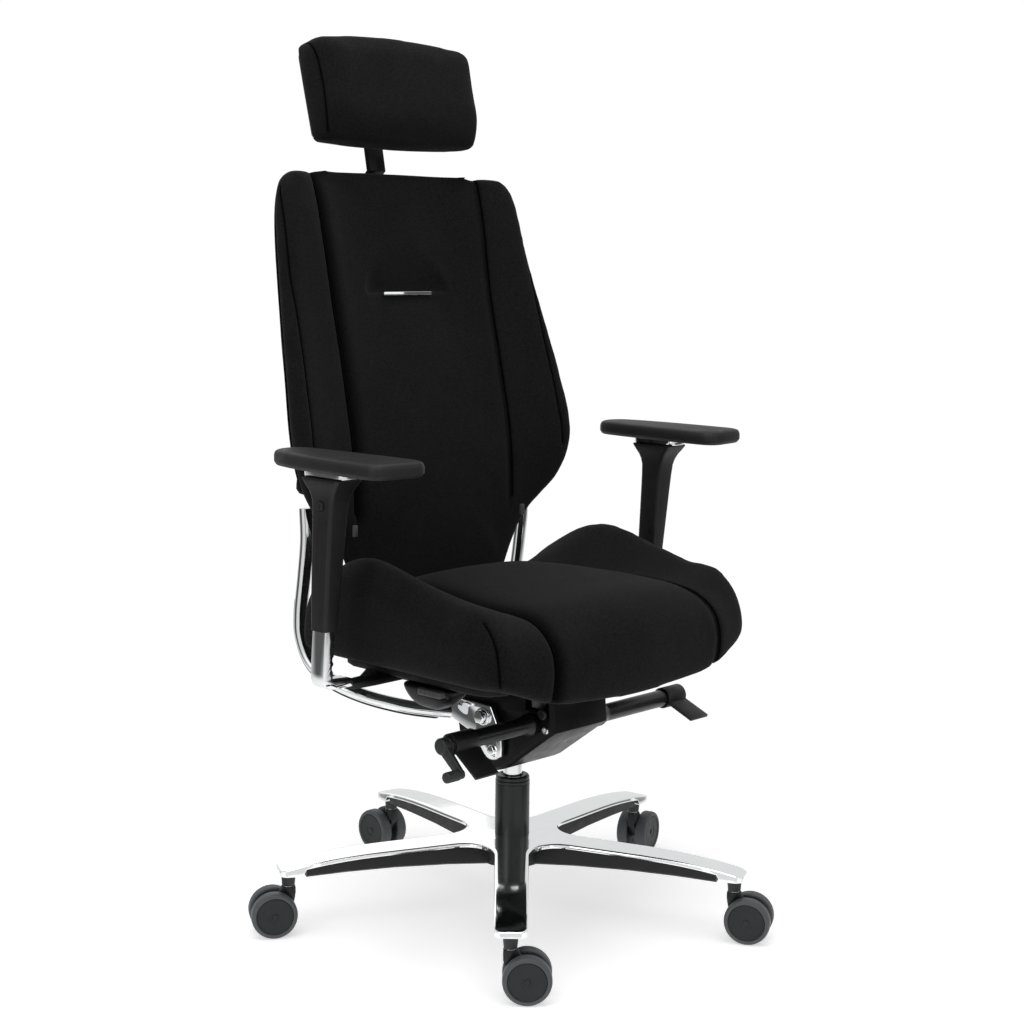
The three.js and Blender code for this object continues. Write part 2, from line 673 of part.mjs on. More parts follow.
function seatCushion() {
  const stations = [0, 0.012, 0.04, 0.08, 0.13, 0.135, 0.25, 0.38, 0.5, 0.62, 0.74, 0.84, 0.92, 0.97, 1];
  const across = [-1, -0.93, -0.84, -0.7, -0.55, -0.28, 0, 0.28, 0.55, 0.7, 0.84, 0.93, 1];
  const under = [0.95, 0.6, 0, -0.6, -0.95];
  return loft(stations.map((v) => {
    const end = Math.max(1 - v / 0.04, 0) + Math.max((v - 0.92) / 0.08, 0);
    const inset = 22 * end ** 2;
    const low = v < 0.132 ? 373 + inset * 0.8 : 394 + inset * 0.6;
    const w = seatHalf - 6 * end;
    const place = (x, z) => new THREE.Vector3(x, lerp(seatFrontY(x), seatRearY(x), v), z);
    const top = across.map((u) => {
      const y = lerp(seatFrontY(u * w), seatRearY(u * w), v);
      return place(u * w, Math.max(seatTop(u * w, y) - inset, low + 16));
    });
    const sides = (s) => [place(s * (w + 3), low + 60 - inset), place(s * w, low + 22)];
    return [...top, ...sides(1), ...under.map((u) => place(u * w, low)), ...sides(-1).reverse()];
  }));
}

function seatPan() {
  const outline = roundRect(222, 149, 30).map(([x, y]) => [x, y - 21]);
  return plate(outline, seatPanLowZ, seatPanTopZ, 1.5);
}

const armY = (z) => armLeanY - armLean * (z - armLeanZ);

// Arm of the frame that reaches out to the foot of an armrest bar.
function armBracket(side) {
  const y = armY(384);
  const outline = [[286.5, y - 13], [286.5, y + 13], [250, y + 16], [176, 108], [110, 108], [110, 20],
    [184, 20], [250, y - 16]];
  return onSide(plate(outline, 374, 382.4), side);
}

function seatFrame() {
  const body = plate([[-70, -128], [70, -128], [80, -80], [150, -60], [178, 20], [178, 112], [-178, 112],
    [-178, 20], [-150, -60], [-80, -80]], 366, 376, 2);
  const ear = prismX([[-12, -8], [12, -8], [16, 30], [-16, 30]]
    .map(([y, z]) => [tiltPivotY + y, tiltPivotZ + z]), 47, 55);
  return union(body, ear, onSide(ear, -1), armBracket(-1), armBracket(1));
}

// Bowl-shaped moulding under the seat's edge that carries the depth button.
function seatAdjuster() {
  const sections = [[seatPanLowZ - gap, 26, 50], [374, 25, 47], [360, 20, 38], [350, 13, 24], [346, 6, 12]];
  const rings = sections.map(([z, w, d]) => {
    const y = -49 + (seatPanLowZ - z) * 0.15;
    return ringAt(roundRect(w, d, w * 0.6, 3), -201, y, z);
  });
  const pocket = new THREE.BoxGeometry(20, 46, 11.6).translate(-227, -66, 375);
  return cut(loft(rings), pocket);
}

const seat = new THREE.Group();
column.add(seat);
add(seat, 'seat_frame', seatFrame(), blackMetal());
add(seat, 'seat_pan', seatPan(), blackPlastic());
add(seat, 'seat_cushion', seatCushion(), fabric());
add(seat, 'seat_adjuster', seatAdjuster(), blackPlastic());
const depthButton = plate(roundRect(6.5, 22, 2).map(([x, y]) => [x - 226, y - 66]), 370.5, 379.5, 1);
add(seat, 'seat_depth_button', depthButton, greyPlastic());

// ---------- armrests ----------
const leanForward = new THREE.Matrix4().makeShear(0, 0, 0, 0, 0, -armLean)
  .setPosition(0, armLeanY + armLean * armLeanZ, 0);

// Toothed bar with a rounded foot that turns in under the seat.
function armBar(side) {
  const shape = new THREE.Shape();
  shape.moveTo(8.5, 600);
  shape.lineTo(8.5, 402);
  shape.quadraticCurveTo(8.5, 378.5, -16, 378.5);
  shape.lineTo(-44, 378.5);
  shape.lineTo(-44, 390);
  shape.lineTo(-14, 390);
  shape.quadraticCurveTo(-8.5, 390, -8.5, 397);
  for (let z = 404; z < 590; z += 12) {
    shape.lineTo(-8.5, z);
    shape.lineTo(-6.5, z + 3);
    shape.lineTo(-6.5, z + 7);
    shape.lineTo(-8.5, z + 9);
  }
  shape.lineTo(-8.5, 600);
  const g = new THREE.ExtrudeGeometry(shape, { depth: 26, bevelEnabled: false, curveSegments: 5 });
  g.translate(0, 0, -13).rotateX(Math.PI / 2).applyMatrix4(leanForward);
  return onSide(closed(g.translate(armX, 0, 0)), side);
}

function armSleeve(side) {
  const sections = [[sleeveBottomZ, 12.5, 16], [590, 15.5, 18.5], [632, 16.5, 20], [648, 19, 26],
    [660, 22, 35], [sleeveTopZ, 22.5, 37.5]];
  const outer = loft(sections.map(([z, w, d]) => ringAt(roundRect(w, d, 5), armX, armY(z), z)));
  const cavity = loft([430, 651].map((z) => ringAt(plainRect(9.2, 13.7), armX, armY(z), z)));
  const button = rodX(armButtonRadius + 0.6, armX + 11.2, armX + 30, armY(armButtonZ), armButtonZ, 20);
  return onSide(cut(outer, cavity, button), side);
}

function armButton(side) {
  return onSide(rodX(armButtonRadius, armX + 14.2, armX + 18.6, armY(armButtonZ), armButtonZ, 20), side);
}

function sliderPlate(side) {
  const outline = roundRect(17, 40, 8).map(([x, y]) => [x + armX, y + armY(sleeveTopZ)]);
  return onSide(plate(outline, sleeveTopZ + gap, padBottomZ - gap, 1), side);
}

// Pad outline: nearly straight outside, fuller towards the sitter at the front.
function armPad(side) {
  const shape = new THREE.Shape();
  shape.moveTo(43, -96);
  shape.quadraticCurveTo(43, -119, 20, -121);
  shape.lineTo(-22, -126);
  shape.quadraticCurveTo(-46, -127, -47, -100);
  shape.quadraticCurveTo(-47, -40, -42, 30);
  shape.quadraticCurveTo(-40, 60, -36, 92);
  shape.quadraticCurveTo(-33, 117, -8, 118);
  shape.quadraticCurveTo(16, 118, 24, 100);
  shape.quadraticCurveTo(43, 50, 43, -96);
  const outline = shape.getPoints(4).slice(0, -1).map((p) => [p.x, p.y]);
  const grow = (k, z) => outline.map(([x, y]) => new THREE.Vector3(x * (1 - k / 42), y * (1 - k / 120), z));
  const layers = [[4, padBottomZ], [0, padBottomZ + 5], [0, padTopZ - 7], [2, padTopZ - 2], [7, padTopZ]];
  const pad = loft(layers.map(([k, z]) => grow(k, z)));
  return onSide(pad.translate(armX, 0, 0), side);
}

for (const [side, word] of sides) {
  add(column, `arm_bar_${word}`, armBar(side), aluminium());
  add(column, `arm_sleeve_${word}`, armSleeve(side), blackPlastic());
  add(column, `arm_button_${word}`, armButton(side), blackPlastic());
  add(column, `arm_slider_${word}`, sliderPlate(side), chrome());
  add(column, `arm_pad_${word}`, armPad(side), softPad());
}

export default chair;
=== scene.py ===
import json
import math

import bmesh
import bpy
import numpy as np
from mathutils import Matrix, Vector, noise
from mathutils.bvhtree import BVHTree
from mathutils.kdtree import KDTree


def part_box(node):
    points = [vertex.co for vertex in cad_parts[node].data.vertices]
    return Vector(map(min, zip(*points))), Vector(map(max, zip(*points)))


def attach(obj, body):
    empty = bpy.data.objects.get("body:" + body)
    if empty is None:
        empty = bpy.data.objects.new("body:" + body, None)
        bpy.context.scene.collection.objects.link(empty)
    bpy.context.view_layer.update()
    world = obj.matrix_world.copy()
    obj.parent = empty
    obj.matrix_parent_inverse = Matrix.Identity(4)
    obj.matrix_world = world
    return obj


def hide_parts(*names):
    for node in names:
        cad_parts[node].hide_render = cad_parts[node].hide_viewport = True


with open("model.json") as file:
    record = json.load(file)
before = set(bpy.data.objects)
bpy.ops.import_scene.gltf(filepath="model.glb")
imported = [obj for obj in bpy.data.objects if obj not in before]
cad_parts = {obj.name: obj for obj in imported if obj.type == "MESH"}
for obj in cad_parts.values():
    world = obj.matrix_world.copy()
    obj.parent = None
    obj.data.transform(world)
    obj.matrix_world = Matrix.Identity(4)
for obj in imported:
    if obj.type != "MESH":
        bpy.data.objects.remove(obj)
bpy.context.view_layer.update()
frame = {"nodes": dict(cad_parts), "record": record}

# Lengths in this script are millimetres from the column axis on the floor, unless a name ends in _m.
MM = 0.001
joints = {j["name"]: j for j in frame["record"]["behaviour"]["joints"]}
column_m = Vector(joints["seat_swivel"]["pos_m"])
column_m.z = 0.0


def at(p):
    """A point in millimetres from the column axis, in the row frame in metres."""
    return column_m + Vector(p) * MM


def back_to_mm(p_m):
    return (Vector(p_m) - column_m) / MM


def box_mm(node):
    low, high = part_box(node)
    return back_to_mm(low), back_to_mm(high)


def pivot_mm(joint):
    return back_to_mm(joints[joint]["pos_m"])


def smoothstep(x, a, b):
    t = min(max((x - a) / (b - a), 0.0), 1.0)
    return t * t * (3 - 2 * t)


def lerp(a, b, t):
    return a + (b - a) * t


# ---------- camera and studio ----------
CAMERA_MM = (-1893, -1815, 961.5)
CAMERA_TURN = (-46.083, 81.9245, 0.697)        # heading, tilt from straight down and roll, in degrees
LENS_MM = 65.44


def make_camera():
    data = bpy.data.cameras.new("camera")
    data.lens = LENS_MM
    data.sensor_width = 36.0
    data.clip_end = 60.0
    cam = linked("camera", data)
    heading, tilt, roll = (math.radians(v) for v in CAMERA_TURN)
    turn = Matrix.Rotation(heading, 4, "Z") @ Matrix.Rotation(tilt, 4, "X") @ Matrix.Rotation(roll, 4, "Z")
    cam.matrix_world = Matrix.Translation(at(CAMERA_MM)) @ turn
    bpy.context.scene.camera = cam


def linked(name, data):
    """A new object of some data, in the scene."""
    obj = bpy.data.objects.new(name, data)
    bpy.context.collection.objects.link(obj)
    return obj


def add_node(tree, kind, inputs=None, **settings):
    made = tree.nodes.new(kind)
    for key, value in settings.items():
        setattr(made, key, value)
    for key, value in (inputs or {}).items():
        if isinstance(value, bpy.types.NodeSocket):
            tree.links.new(value, made.inputs[key])
        else:
            made.inputs[key].default_value = value
    return made


class Shading:
    """A material's node tree, with short calls to add and join nodes."""

    def __init__(self, name):
        self.material = bpy.data.materials.new(name)
        self.material.use_nodes = True
        self.tree = self.material.node_tree
        self.shader = self.tree.nodes["Principled BSDF"]
        self.place = self.node("ShaderNodeTexCoord").outputs["Object"]

    def node(self, kind, inputs=None, **settings):
        return add_node(self.tree, kind, inputs, **settings)

    def math(self, operation, a, b=0.0):
        return self.node("ShaderNodeMath", {0: a, 1: b}, operation=operation).outputs[0]

    def noise(self, scale, detail=3.0, roughness=0.5, vector=None):
        inputs = {"Vector": vector or self.place, "Scale": scale, "Detail": detail, "Roughness": roughness}
        return self.node("ShaderNodeTexNoise", inputs).outputs["Fac"]

    def stretched(self, x, y, z):
        inputs = {"Vector": self.place, "Scale": (x, y, z)}
        return self.node("ShaderNodeMapping", inputs).outputs["Vector"]

    def span(self, value, low, high, to_low, to_high):
        inputs = {"Value": value, "From Min": low, "From Max": high, "To Min": to_low, "To Max": to_high}
        return self.node("ShaderNodeMapRange", inputs).outputs["Result"]

    def spread(self, noise, to_low, to_high):
        """A noise, whose values lie mostly between 0.3 and 0.7, spread over another range."""
        return self.span(noise, 0.3, 0.7, to_low, to_high)

    def weighted(self, a, share_a, b, share_b):
        return self.math("ADD", self.math("MULTIPLY", a, share_a), self.math("MULTIPLY", b, share_b))

    def blend(self, amount, a, b):
        """Colour between a and b. A colour mix node has its factor at 0 and its colours at 6 and 7."""
        return self.node("ShaderNodeMix", {0: amount, 6: (*a, 1), 7: (*b, 1)}, data_type="RGBA").outputs[2]

    def feed(self, socket, name):
        self.tree.links.new(socket, self.shader.inputs[name])

    def color(self, socket):
        self.feed(socket, "Base Color")

    def roughness(self, socket):
        self.feed(socket, "Roughness")

    def bump(self, height, depth_m, strength=1.0):
        made = self.node("ShaderNodeBump", {"Height": height, "Distance": depth_m, "Strength": strength})
        self.feed(made.outputs["Normal"], "Normal")

    def fixed(self, **values):
        for key, value in values.items():
            self.shader.inputs[key.replace("_", " ")].default_value = value
        return self.material


def weave(s, pitch_m):
    """Height of a woven cloth: two crossing sets of threads, read from the place in space."""
    turns = 2 * math.pi / pitch_m
    split = s.node("ShaderNodeSeparateXYZ", {0: s.place})
    waves = []
    for axis in "XYZ":
        angle = s.math("MULTIPLY", split.outputs[axis], turns)
        waves.append((s.math("SINE", angle), s.math("COSINE", angle)))
    (sx, cx), (sy, cy), (sz, cz) = waves
    return s.math("ADD", s.weighted(sx, cy, sy, cz), s.math("MULTIPLY", sz, cx))


SHADE_ATTRIBUTE = "painted_shade"                  # painted shade in the seams and the hollows beside them, from 0 to 1
WEAVE_PITCH_M = 0.0018


def fabric_material():
    """Matt black woven cloth with painted shade in its seams: it darkens and loses sheen where the shade
    attribute rises.
    """
    s = Shading("upholstery_weave")
    threads = weave(s, WEAVE_PITCH_M)
    fleece = s.noise(900, 4, 0.65)
    clouds = s.noise(16, 2, 0.5)
    specks = s.noise(420, 3, 0.75)
    tone = s.weighted(specks, 0.86, clouds, 0.14)
    # Painted shade: the attribute darkens the cloth's colour and dims its sheen and specular.
    painted_shade = s.node("ShaderNodeAttribute", attribute_name=SHADE_ATTRIBUTE)
    lit = s.span(painted_shade.outputs["Fac"], 0, 1, 1, 0.12)
    tone = s.math("MULTIPLY", s.span(tone, 0.36, 0.64, 0.13, 1), lit)
    s.color(s.blend(tone, (0, 0, 0), (0.0098, 0.0098, 0.0100)))
    s.feed(s.math("MULTIPLY", lit, 0.045), "Sheen Weight")
    s.feed(s.math("MULTIPLY", lit, 0.12), "Specular IOR Level")
    s.roughness(s.spread(fleece, 0.82, 0.98))
    height = s.math("ADD", s.math("MULTIPLY", threads, 0.22), fleece)
    s.bump(height, 0.0004, 0.8)
    return s.fixed(Sheen_Roughness=0.5, Sheen_Tint=(0.8, 0.8, 0.82, 1))


def edge_wear(s, radius_m):
    """1 where a rounded or sharp edge is within radius_m, 0 on flat faces."""
    soft = s.node("ShaderNodeBevel", {"Radius": radius_m}, samples=4)
    flat = s.node("ShaderNodeNewGeometry").outputs["Normal"]
    inputs = {0: soft.outputs["Normal"], 1: flat}
    same = s.node("ShaderNodeVectorMath", inputs, operation="DOT_PRODUCT").outputs["Value"]
    return s.span(same, 1.0, 0.86, 0.0, 1.0)


def plastic_material(name, dark, light, roughness, grain=1400.0, depth_m=0.00006, specular=0.35):
    """Moulded plastic or powder coat: fine grain, faint cloudiness and lighter rubbed edges."""
    s = Shading(name)
    grainy = s.noise(grain, 2, 0.6)
    clouds = s.noise(28, 4, 0.6)
    wear = edge_wear(s, 0.0012)
    rubbed = s.math("MULTIPLY", wear, s.noise(160, 3, 0.7))
    s.color(s.blend(s.weighted(clouds, 0.55, rubbed, 0.6), dark, light))
    s.roughness(s.spread(s.noise(60, 4, 0.65), *roughness))
    s.bump(grainy, depth_m, 0.6)
    return s.fixed(Specular_IOR_Level=specular)


def metal_material(name, dark, light, roughness, ripple_m):
    """Polished metal: faint haze, drawn polishing lines and a slight ripple in the surface."""
    s = Shading(name)
    haze = s.noise(35, 5, 0.6)
    lines = s.noise(30, 3, 0.7, s.stretched(1, 1, 26))
    s.color(s.blend(haze, dark, light))
    s.roughness(s.spread(s.weighted(haze, 0.6, lines, 0.4), *roughness))
    s.bump(s.noise(14, 2, 0.4), ripple_m, 0.5)
    return s.fixed(Metallic=1.0)


def rubber_material(name, dark, light):
    s = Shading(name)
    dust = s.noise(90, 5, 0.7)
    s.color(s.blend(dust, dark, light))
    s.roughness(s.spread(dust, 0.42, 0.62))
    s.bump(s.noise(700, 3, 0.6), 0.0001, 0.5)
    return s.fixed(Specular_IOR_Level=0.45)


def floor_material():
    """Pale matt floor that thins out to the white backdrop far from the object."""
    s = Shading("floor_paper")
    fibre = s.noise(5, 3, 0.5)
    s.color(s.blend(fibre, (0.86, 0.86, 0.86), (0.88, 0.88, 0.88)))
    s.fixed(Roughness=0.9, Specular_IOR_Level=0.1, Emission_Color=(1, 1, 1, 1), Emission_Strength=0.5)
    away = s.node("ShaderNodeVectorMath", {0: s.place}, operation="LENGTH").outputs["Value"]
    fade = s.span(away, 0.42, 1.15, 0.0, 1.0)
    clear = s.node("ShaderNodeBsdfTransparent")
    mix = s.node("ShaderNodeMixShader", {0: fade, 1: s.shader.outputs[0], 2: clear.outputs[0]})
    s.tree.links.new(mix.outputs[0], s.tree.nodes["Material Output"].inputs["Surface"])
    return s.material


def soft_box(name, place_m, target_m, size, power):
    data = bpy.data.lights.new(name, "AREA")
    data.shape = "RECTANGLE"
    data.size, data.size_y = size
    data.energy = power
    lamp = linked(name, data)
    away = Vector(place_m) - Vector(target_m)
    lamp.matrix_world = Matrix.Translation(place_m) @ away.to_track_quat("Z", "Y").to_matrix().to_4x4()
    lamp.visible_camera = False


BACKDROP = 1.02                    # world brightness straight behind the object,
AMBIENT = 0.5                      # for the light it sheds,
MIRRORED = 0.97                    # in reflections,
FLAGS = 0.12                       # and in the dark flags that edge the reflections at both sides
FLAG_ACROSS = (0.694, -0.72, 0.0)  # direction of the flags, across the view
FLAG_FROM, FLAG_TO = 0.84, 0.95
FLOOR_R_M = 3.2


def make_world():
    world = bpy.data.worlds.new("studio")
    world.use_nodes = True
    tree = world.node_tree
    shown = tree.nodes["Background"]
    shown.inputs["Color"].default_value = (1, 1, 1, 1)
    shown.inputs["Strength"].default_value = BACKDROP
    around = add_node(tree, "ShaderNodeBackground", {"Strength": AMBIENT})
    direction = add_node(tree, "ShaderNodeTexCoord").outputs["Generated"]
    across = add_node(tree, "ShaderNodeVectorMath", {0: direction, 1: FLAG_ACROSS}, operation="DOT_PRODUCT")
    size = add_node(tree, "ShaderNodeMath", {0: across.outputs["Value"]}, operation="ABSOLUTE")
    inputs = {"Value": size.outputs[0], "From Min": FLAG_FROM, "From Max": FLAG_TO, "To Min": MIRRORED,
              "To Max": FLAGS}
    flags = add_node(tree, "ShaderNodeMapRange", inputs)
    mirrored = add_node(tree, "ShaderNodeBackground", {"Strength": flags.outputs["Result"]})
    ray = add_node(tree, "ShaderNodeLightPath").outputs
    inputs = {0: ray["Is Glossy Ray"], 1: around.outputs[0], 2: mirrored.outputs[0]}
    unseen = add_node(tree, "ShaderNodeMixShader", inputs)
    inputs = {0: ray["Is Camera Ray"], 1: unseen.outputs[0], 2: shown.outputs[0]}
    mix = add_node(tree, "ShaderNodeMixShader", inputs)
    tree.links.new(mix.outputs[0], tree.nodes["World Output"].inputs["Surface"])
    return world


def make_studio():
    scene = bpy.context.scene
    scene.view_settings.view_transform = "Standard"
    scene.world = make_world()
    middle = (0, 0, 0.55)
    soft_box("box_top", (-0.5, -0.4, 2.8), middle, (2.6, 2.6), 39)
    soft_box("box_left", (-3.2, -0.4, 1.7), middle, (1.3, 2.6), 16)
    soft_box("box_right", (1.9, -2.9, 1.6), middle, (1.1, 2.6), 9)
    soft_box("box_rear", (1.6, 3.0, 2.0), middle, (2.2, 2.0), 8)
    bpy.ops.mesh.primitive_circle_add(vertices=64, radius=FLOOR_R_M, fill_type="NGON", location=(0, 0, 0))
    floor = bpy.context.object
    floor.name = "floor"
    floor.data.materials.append(floor_material())


# ---------- forms ----------
class Form:
    """Points in millimetres and faces that join them."""

    def __init__(self, points=(), faces=()):
        self.points = [Vector(p) for p in points]
        self.faces = [tuple(f) for f in faces]

    def __add__(self, other):
        n = len(self.points)
        return Form(self.points + other.points, self.faces + [tuple(i + n for i in f) for f in other.faces])

    def placed(self, matrix):
        faces = self.faces
        if matrix.determinant() < 0:
            faces = [tuple(reversed(f)) for f in faces]
        return Form([matrix @ p for p in self.points], faces)

    def moved(self, x, y, z):
        return self.placed(Matrix.Translation((x, y, z)))

    def turned(self, degrees, axis):
        return self.placed(Matrix.Rotation(math.radians(degrees), 4, axis))

    def mirrored(self, side=-1):
        return self if side > 0 else self.placed(Matrix.Diagonal((-1, 1, 1, 1)))


def loft(rings, closed=False):
    """Skin over rings of equal count, with end caps unless the rings close on themselves."""
    n = len(rings[0])
    points = [p for ring in rings for p in ring]
    faces = []
    count = len(rings)
    for k in range(count if closed else count - 1):
        a, b = k * n, ((k + 1) % count) * n
        for i in range(n):
            j = (i + 1) % n
            faces.append((a + i, a + j, b + j, b + i))
    if not closed:
        faces.append(tuple(reversed(range(n))))
        faces.append(tuple(range((count - 1) * n, count * n)))
    return Form(points, faces)


def lathe(profile, segments=64):
    """Body turned about +Z from [radius, z] pairs. A profile off the axis is a closed ring."""
    rows = []
    points = []
    for radius, z in profile:
        if radius < 1e-6:
            rows.append([len(points)] * segments)
            points.append((0, 0, z))
        else:
            rows.append(list(range(len(points), len(points) + segments)))
            for i in range(segments):
                a = 2 * math.pi * i / segments
                points.append((radius * math.cos(a), radius * math.sin(a), z))
    pairs = list(zip(rows, rows[1:]))
    if profile[0][0] > 1e-6:
        pairs.append((rows[-1], rows[0]))
    faces = []
    for low, high in pairs:
        for i in range(segments):
            j = (i + 1) % segments
            face = [low[i], low[j], high[j], high[i]]
            kept = [v for k, v in enumerate(face) if v not in face[:k]]
            if len(kept) > 2:
                faces.append(tuple(kept))
    return Form(points, faces)


def rounded(profile, radius, steps=3):
    """The same [radius, z] profile with its inner corners rounded."""
    out = [profile[0]]
    for before, here, after in zip(profile, profile[1:], profile[2:]):
        a, b, c = Vector(before), Vector(here), Vector(after)
        to_a, to_c = (a - b), (c - b)
        cut = min(radius, to_a.length * 0.45, to_c.length * 0.45)
        if cut < 0.05:
            out.append(here)
            continue
        p, q = b + to_a.normalized() * cut, b + to_c.normalized() * cut
        for k in range(steps + 1):
            t = k / steps
            out.append(tuple(p * (1 - t) ** 2 + b * 2 * t * (1 - t) + q * t * t))
    out.append(profile[-1])
    return out


def lathe_x(profile, x_sign=1, segments=48):
    """Body turned about the X axis from [radius, distance along x_sign * X] pairs."""
    return lathe(profile, segments).placed(Matrix.Rotation(math.radians(90 * x_sign), 4, "Y"))


def superellipse(a, b, power, count):
    ring = []
    for i in range(count):
        t = 2 * math.pi * i / count
        c, s = math.cos(t), math.sin(t)
        ring.append((a * math.copysign(abs(c) ** (2 / power), c),
                     b * math.copysign(abs(s) ** (2 / power), s)))
    return ring


def round_rect(w, d, r, steps=4):
    points = []
    for corner, (sx, sy) in enumerate(((1, -1), (1, 1), (-1, 1), (-1, -1))):
        for k in range(steps + 1):
            t = math.radians(-90 + 90 * corner + 90 * k / steps)
            points.append((sx * (w - r) + r * math.cos(t), sy * (d - r) + r * math.sin(t)))
    return points


def inset(outline, amount):
    """Closed outline moved inwards by amount; the outline runs anticlockwise."""
    n = len(outline)
    out = []
    for i in range(n):
        a, b, c = Vector(outline[i - 1]), Vector(outline[i]), Vector(outline[(i + 1) % n])
        d1, d2 = (b - a).normalized(), (c - b).normalized()
        n1, n2 = Vector((-d1.y, d1.x)), Vector((-d2.y, d2.x))
        m = n1 + n2
        if m.length < 1e-6:
            m = n1
        m.normalize()
        out.append(tuple(b + m * amount / max(m.dot(n1), 0.5)))
    return out


def slab(outline, z0, z1, edge=1.0, steps=2):
    """Prism of an outline with rounded edges."""
    layers = []
    for k in range(steps + 1):
        t = math.pi / 2 * k / steps
        layers.append((edge * (1 - math.sin(t)), z0 + edge * (1 - math.cos(t))))
    for k in range(steps + 1):
        t = math.pi / 2 * k / steps
        layers.append((edge * (1 - math.cos(t)), z1 - edge * (1 - math.sin(t))))
    return loft([[Vector((x, y, z)) for x, y in inset(outline, cut)] for cut, z in layers])


def sweep(path, section, across, scale=None):
    """Section of [u, v] pairs carried along a path of points; u runs sideways from across."""
    rings = []
    n = len(path)
    side = across
    for k, p in enumerate(path):
        tangent = (path[min(k + 1, n - 1)] - path[max(k - 1, 0)]).normalized()
        side = (side - tangent * side.dot(tangent)).normalized()
        up = tangent.cross(side)
        size = scale(k / (n - 1)) if scale else 1.0
        rings.append([p + side * (u * size) + up * (v * size) for u, v in section])
    return loft(rings)


def spline(points, per_span=8):
    """Smooth curve through points (centripetal Catmull-Rom)."""
    p = [Vector(q) for q in points]
    p = [p[0] * 2 - p[1]] + p + [p[-1] * 2 - p[-2]]
    out = []
    for i in range(1, len(p) - 2):
        a, b, c, d = p[i - 1:i + 3]
        t0 = 0.0
        t1 = t0 + max((b - a).length, 1e-6) ** 0.5
        t2 = t1 + max((c - b).length, 1e-6) ** 0.5
        t3 = t2 + max((d - c).length, 1e-6) ** 0.5
        for k in range(per_span):
            t = t1 + (t2 - t1) * k / per_span
            ab = a * ((t1 - t) / (t1 - t0)) + b * ((t - t0) / (t1 - t0))
            bc = b * ((t2 - t) / (t2 - t1)) + c * ((t - t1) / (t2 - t1))
            cd = c * ((t3 - t) / (t3 - t2)) + d * ((t - t2) / (t3 - t2))
            abc = ab * ((t2 - t) / (t2 - t0)) + bc * ((t - t0) / (t2 - t0))
            bcd = bc * ((t3 - t) / (t3 - t1)) + cd * ((t - t1) / (t3 - t1))
            out.append(abc * ((t2 - t) / (t2 - t1)) + bcd * ((t - t1) / (t2 - t1)))
    out.append(p[-2])
    return out


def piece(name, form, body, material, nodes=(), sharp=40):
    """Makes one object of a form, riding on a body and standing for CAD nodes."""
    bm = bmesh.new()
    made = [bm.verts.new(at(p)) for p in form.points]
    bm.verts.ensure_lookup_table()
    for f in form.faces:
        try:
            bm.faces.new([made[i] for i in f])
        except ValueError:
            continue                   # two rings that meet give the same face twice
    bmesh.ops.remove_doubles(bm, verts=bm.verts, dist=1e-6)
    bmesh.ops.recalc_face_normals(bm, faces=bm.faces)
    return from_bmesh(name, bm, body, material, nodes, sharp)


def bevel_sharp(bm, width, angle=28, segments=2):
    edges = [e for e in bm.edges if len(e.link_faces) == 2 and e.calc_face_angle(0) > math.radians(angle)]
    bmesh.ops.bevel(bm, geom=edges, offset=width * MM, segments=segments, profile=0.5,
                    affect="EDGES", clamp_overlap=True)


def from_bmesh(name, bm, body, material, nodes=(), sharp=40):
    mesh = bpy.data.meshes.new(name)
    bm.to_mesh(mesh)
    bm.free()
    mesh.materials.append(material)
    mesh.shade_smooth()
    mesh.set_sharp_from_angle(angle=math.radians(sharp))
    obj = linked(name, mesh)
    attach(obj, body)
    if nodes:
        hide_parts(*nodes)
    return obj


def cad_copy(node):
    """Clean bmesh of a CAD node's own surface, with flat regions as single faces."""
    bm = bmesh.new()
    bm.from_mesh(frame["nodes"][node].data)
    bmesh.ops.remove_doubles(bm, verts=bm.verts, dist=1e-6)
    bmesh.ops.dissolve_limit(bm, angle_limit=math.radians(0.6), verts=bm.verts, edges=bm.edges)
    return bm


def refined(node, body, material, bevel=0.8, segments=2, angle=28, sharp=40):
    """The CAD node's surface with rounded edges."""
    bm = cad_copy(node)
    if bevel:
        bevel_sharp(bm, bevel, angle, segments)
    return from_bmesh(node + "_finished", bm, body, material, [node], sharp)


# ---------- upholstery ----------
LAY_STEP_M = 0.004                 # between the points of a seam
SEAM_STEP_M = 0.0015               # between the points that distances to a seam are taken from
HOLD_WIDE_M = 0.016                # a seam holds the filling down this far out,
HOLD = 0.45                        # by this share
VALLEY_START_M = 0.004
VALLEY_WIDE_M = 0.0125
VALLEY_DEEP_M = 0.005
SHADE_WIDE_M = 0.018
SHADE_LEFT = 0.95                  # the light comes from the left, so the left valley lies in shade
SHADE_RIGHT = 0.25
GROOVE_DEEP_M = 0.0024
GROOVE_WIDE_M = 0.0026
SINK_SHARE = 0.4                   # of the groove's depth, by which the cloth sinks around it
SINK_WIDE_M = 0.010
# Painted shade along each seam line: its darkness and its width.
SEAM_SHADE = 0.7
SEAM_SHADE_WIDE_M = 0.0024
DRIFT = ((14, 0.0003), (60, 0.0001))   # unevenness of the filling: scale of the noise, height in metres
PRESSURE = 4.0
SIM_FRAMES = 20
CORD_MM = 0.65                     # radius of the cord in the main seams
FINE_CORD_MM = 0.35
CORD_DEPTH_MM = 2.2


def smooth_surface(node, levels):
    """Subdivided copy of a CAD solid as a plain mesh, for soft and moulded shapes."""
    bm = cad_copy(node)
    bmesh.ops.join_triangles(bm, faces=bm.faces, angle_face_threshold=math.radians(40),
                             angle_shape_threshold=math.radians(40))
    return modified(mesh_of(bm), ("SUBSURF", {"levels": levels, "render_levels": levels}))


def mesh_of(bm):
    mesh = bpy.data.meshes.new("work")
    bm.to_mesh(mesh)
    bm.free()
    return mesh


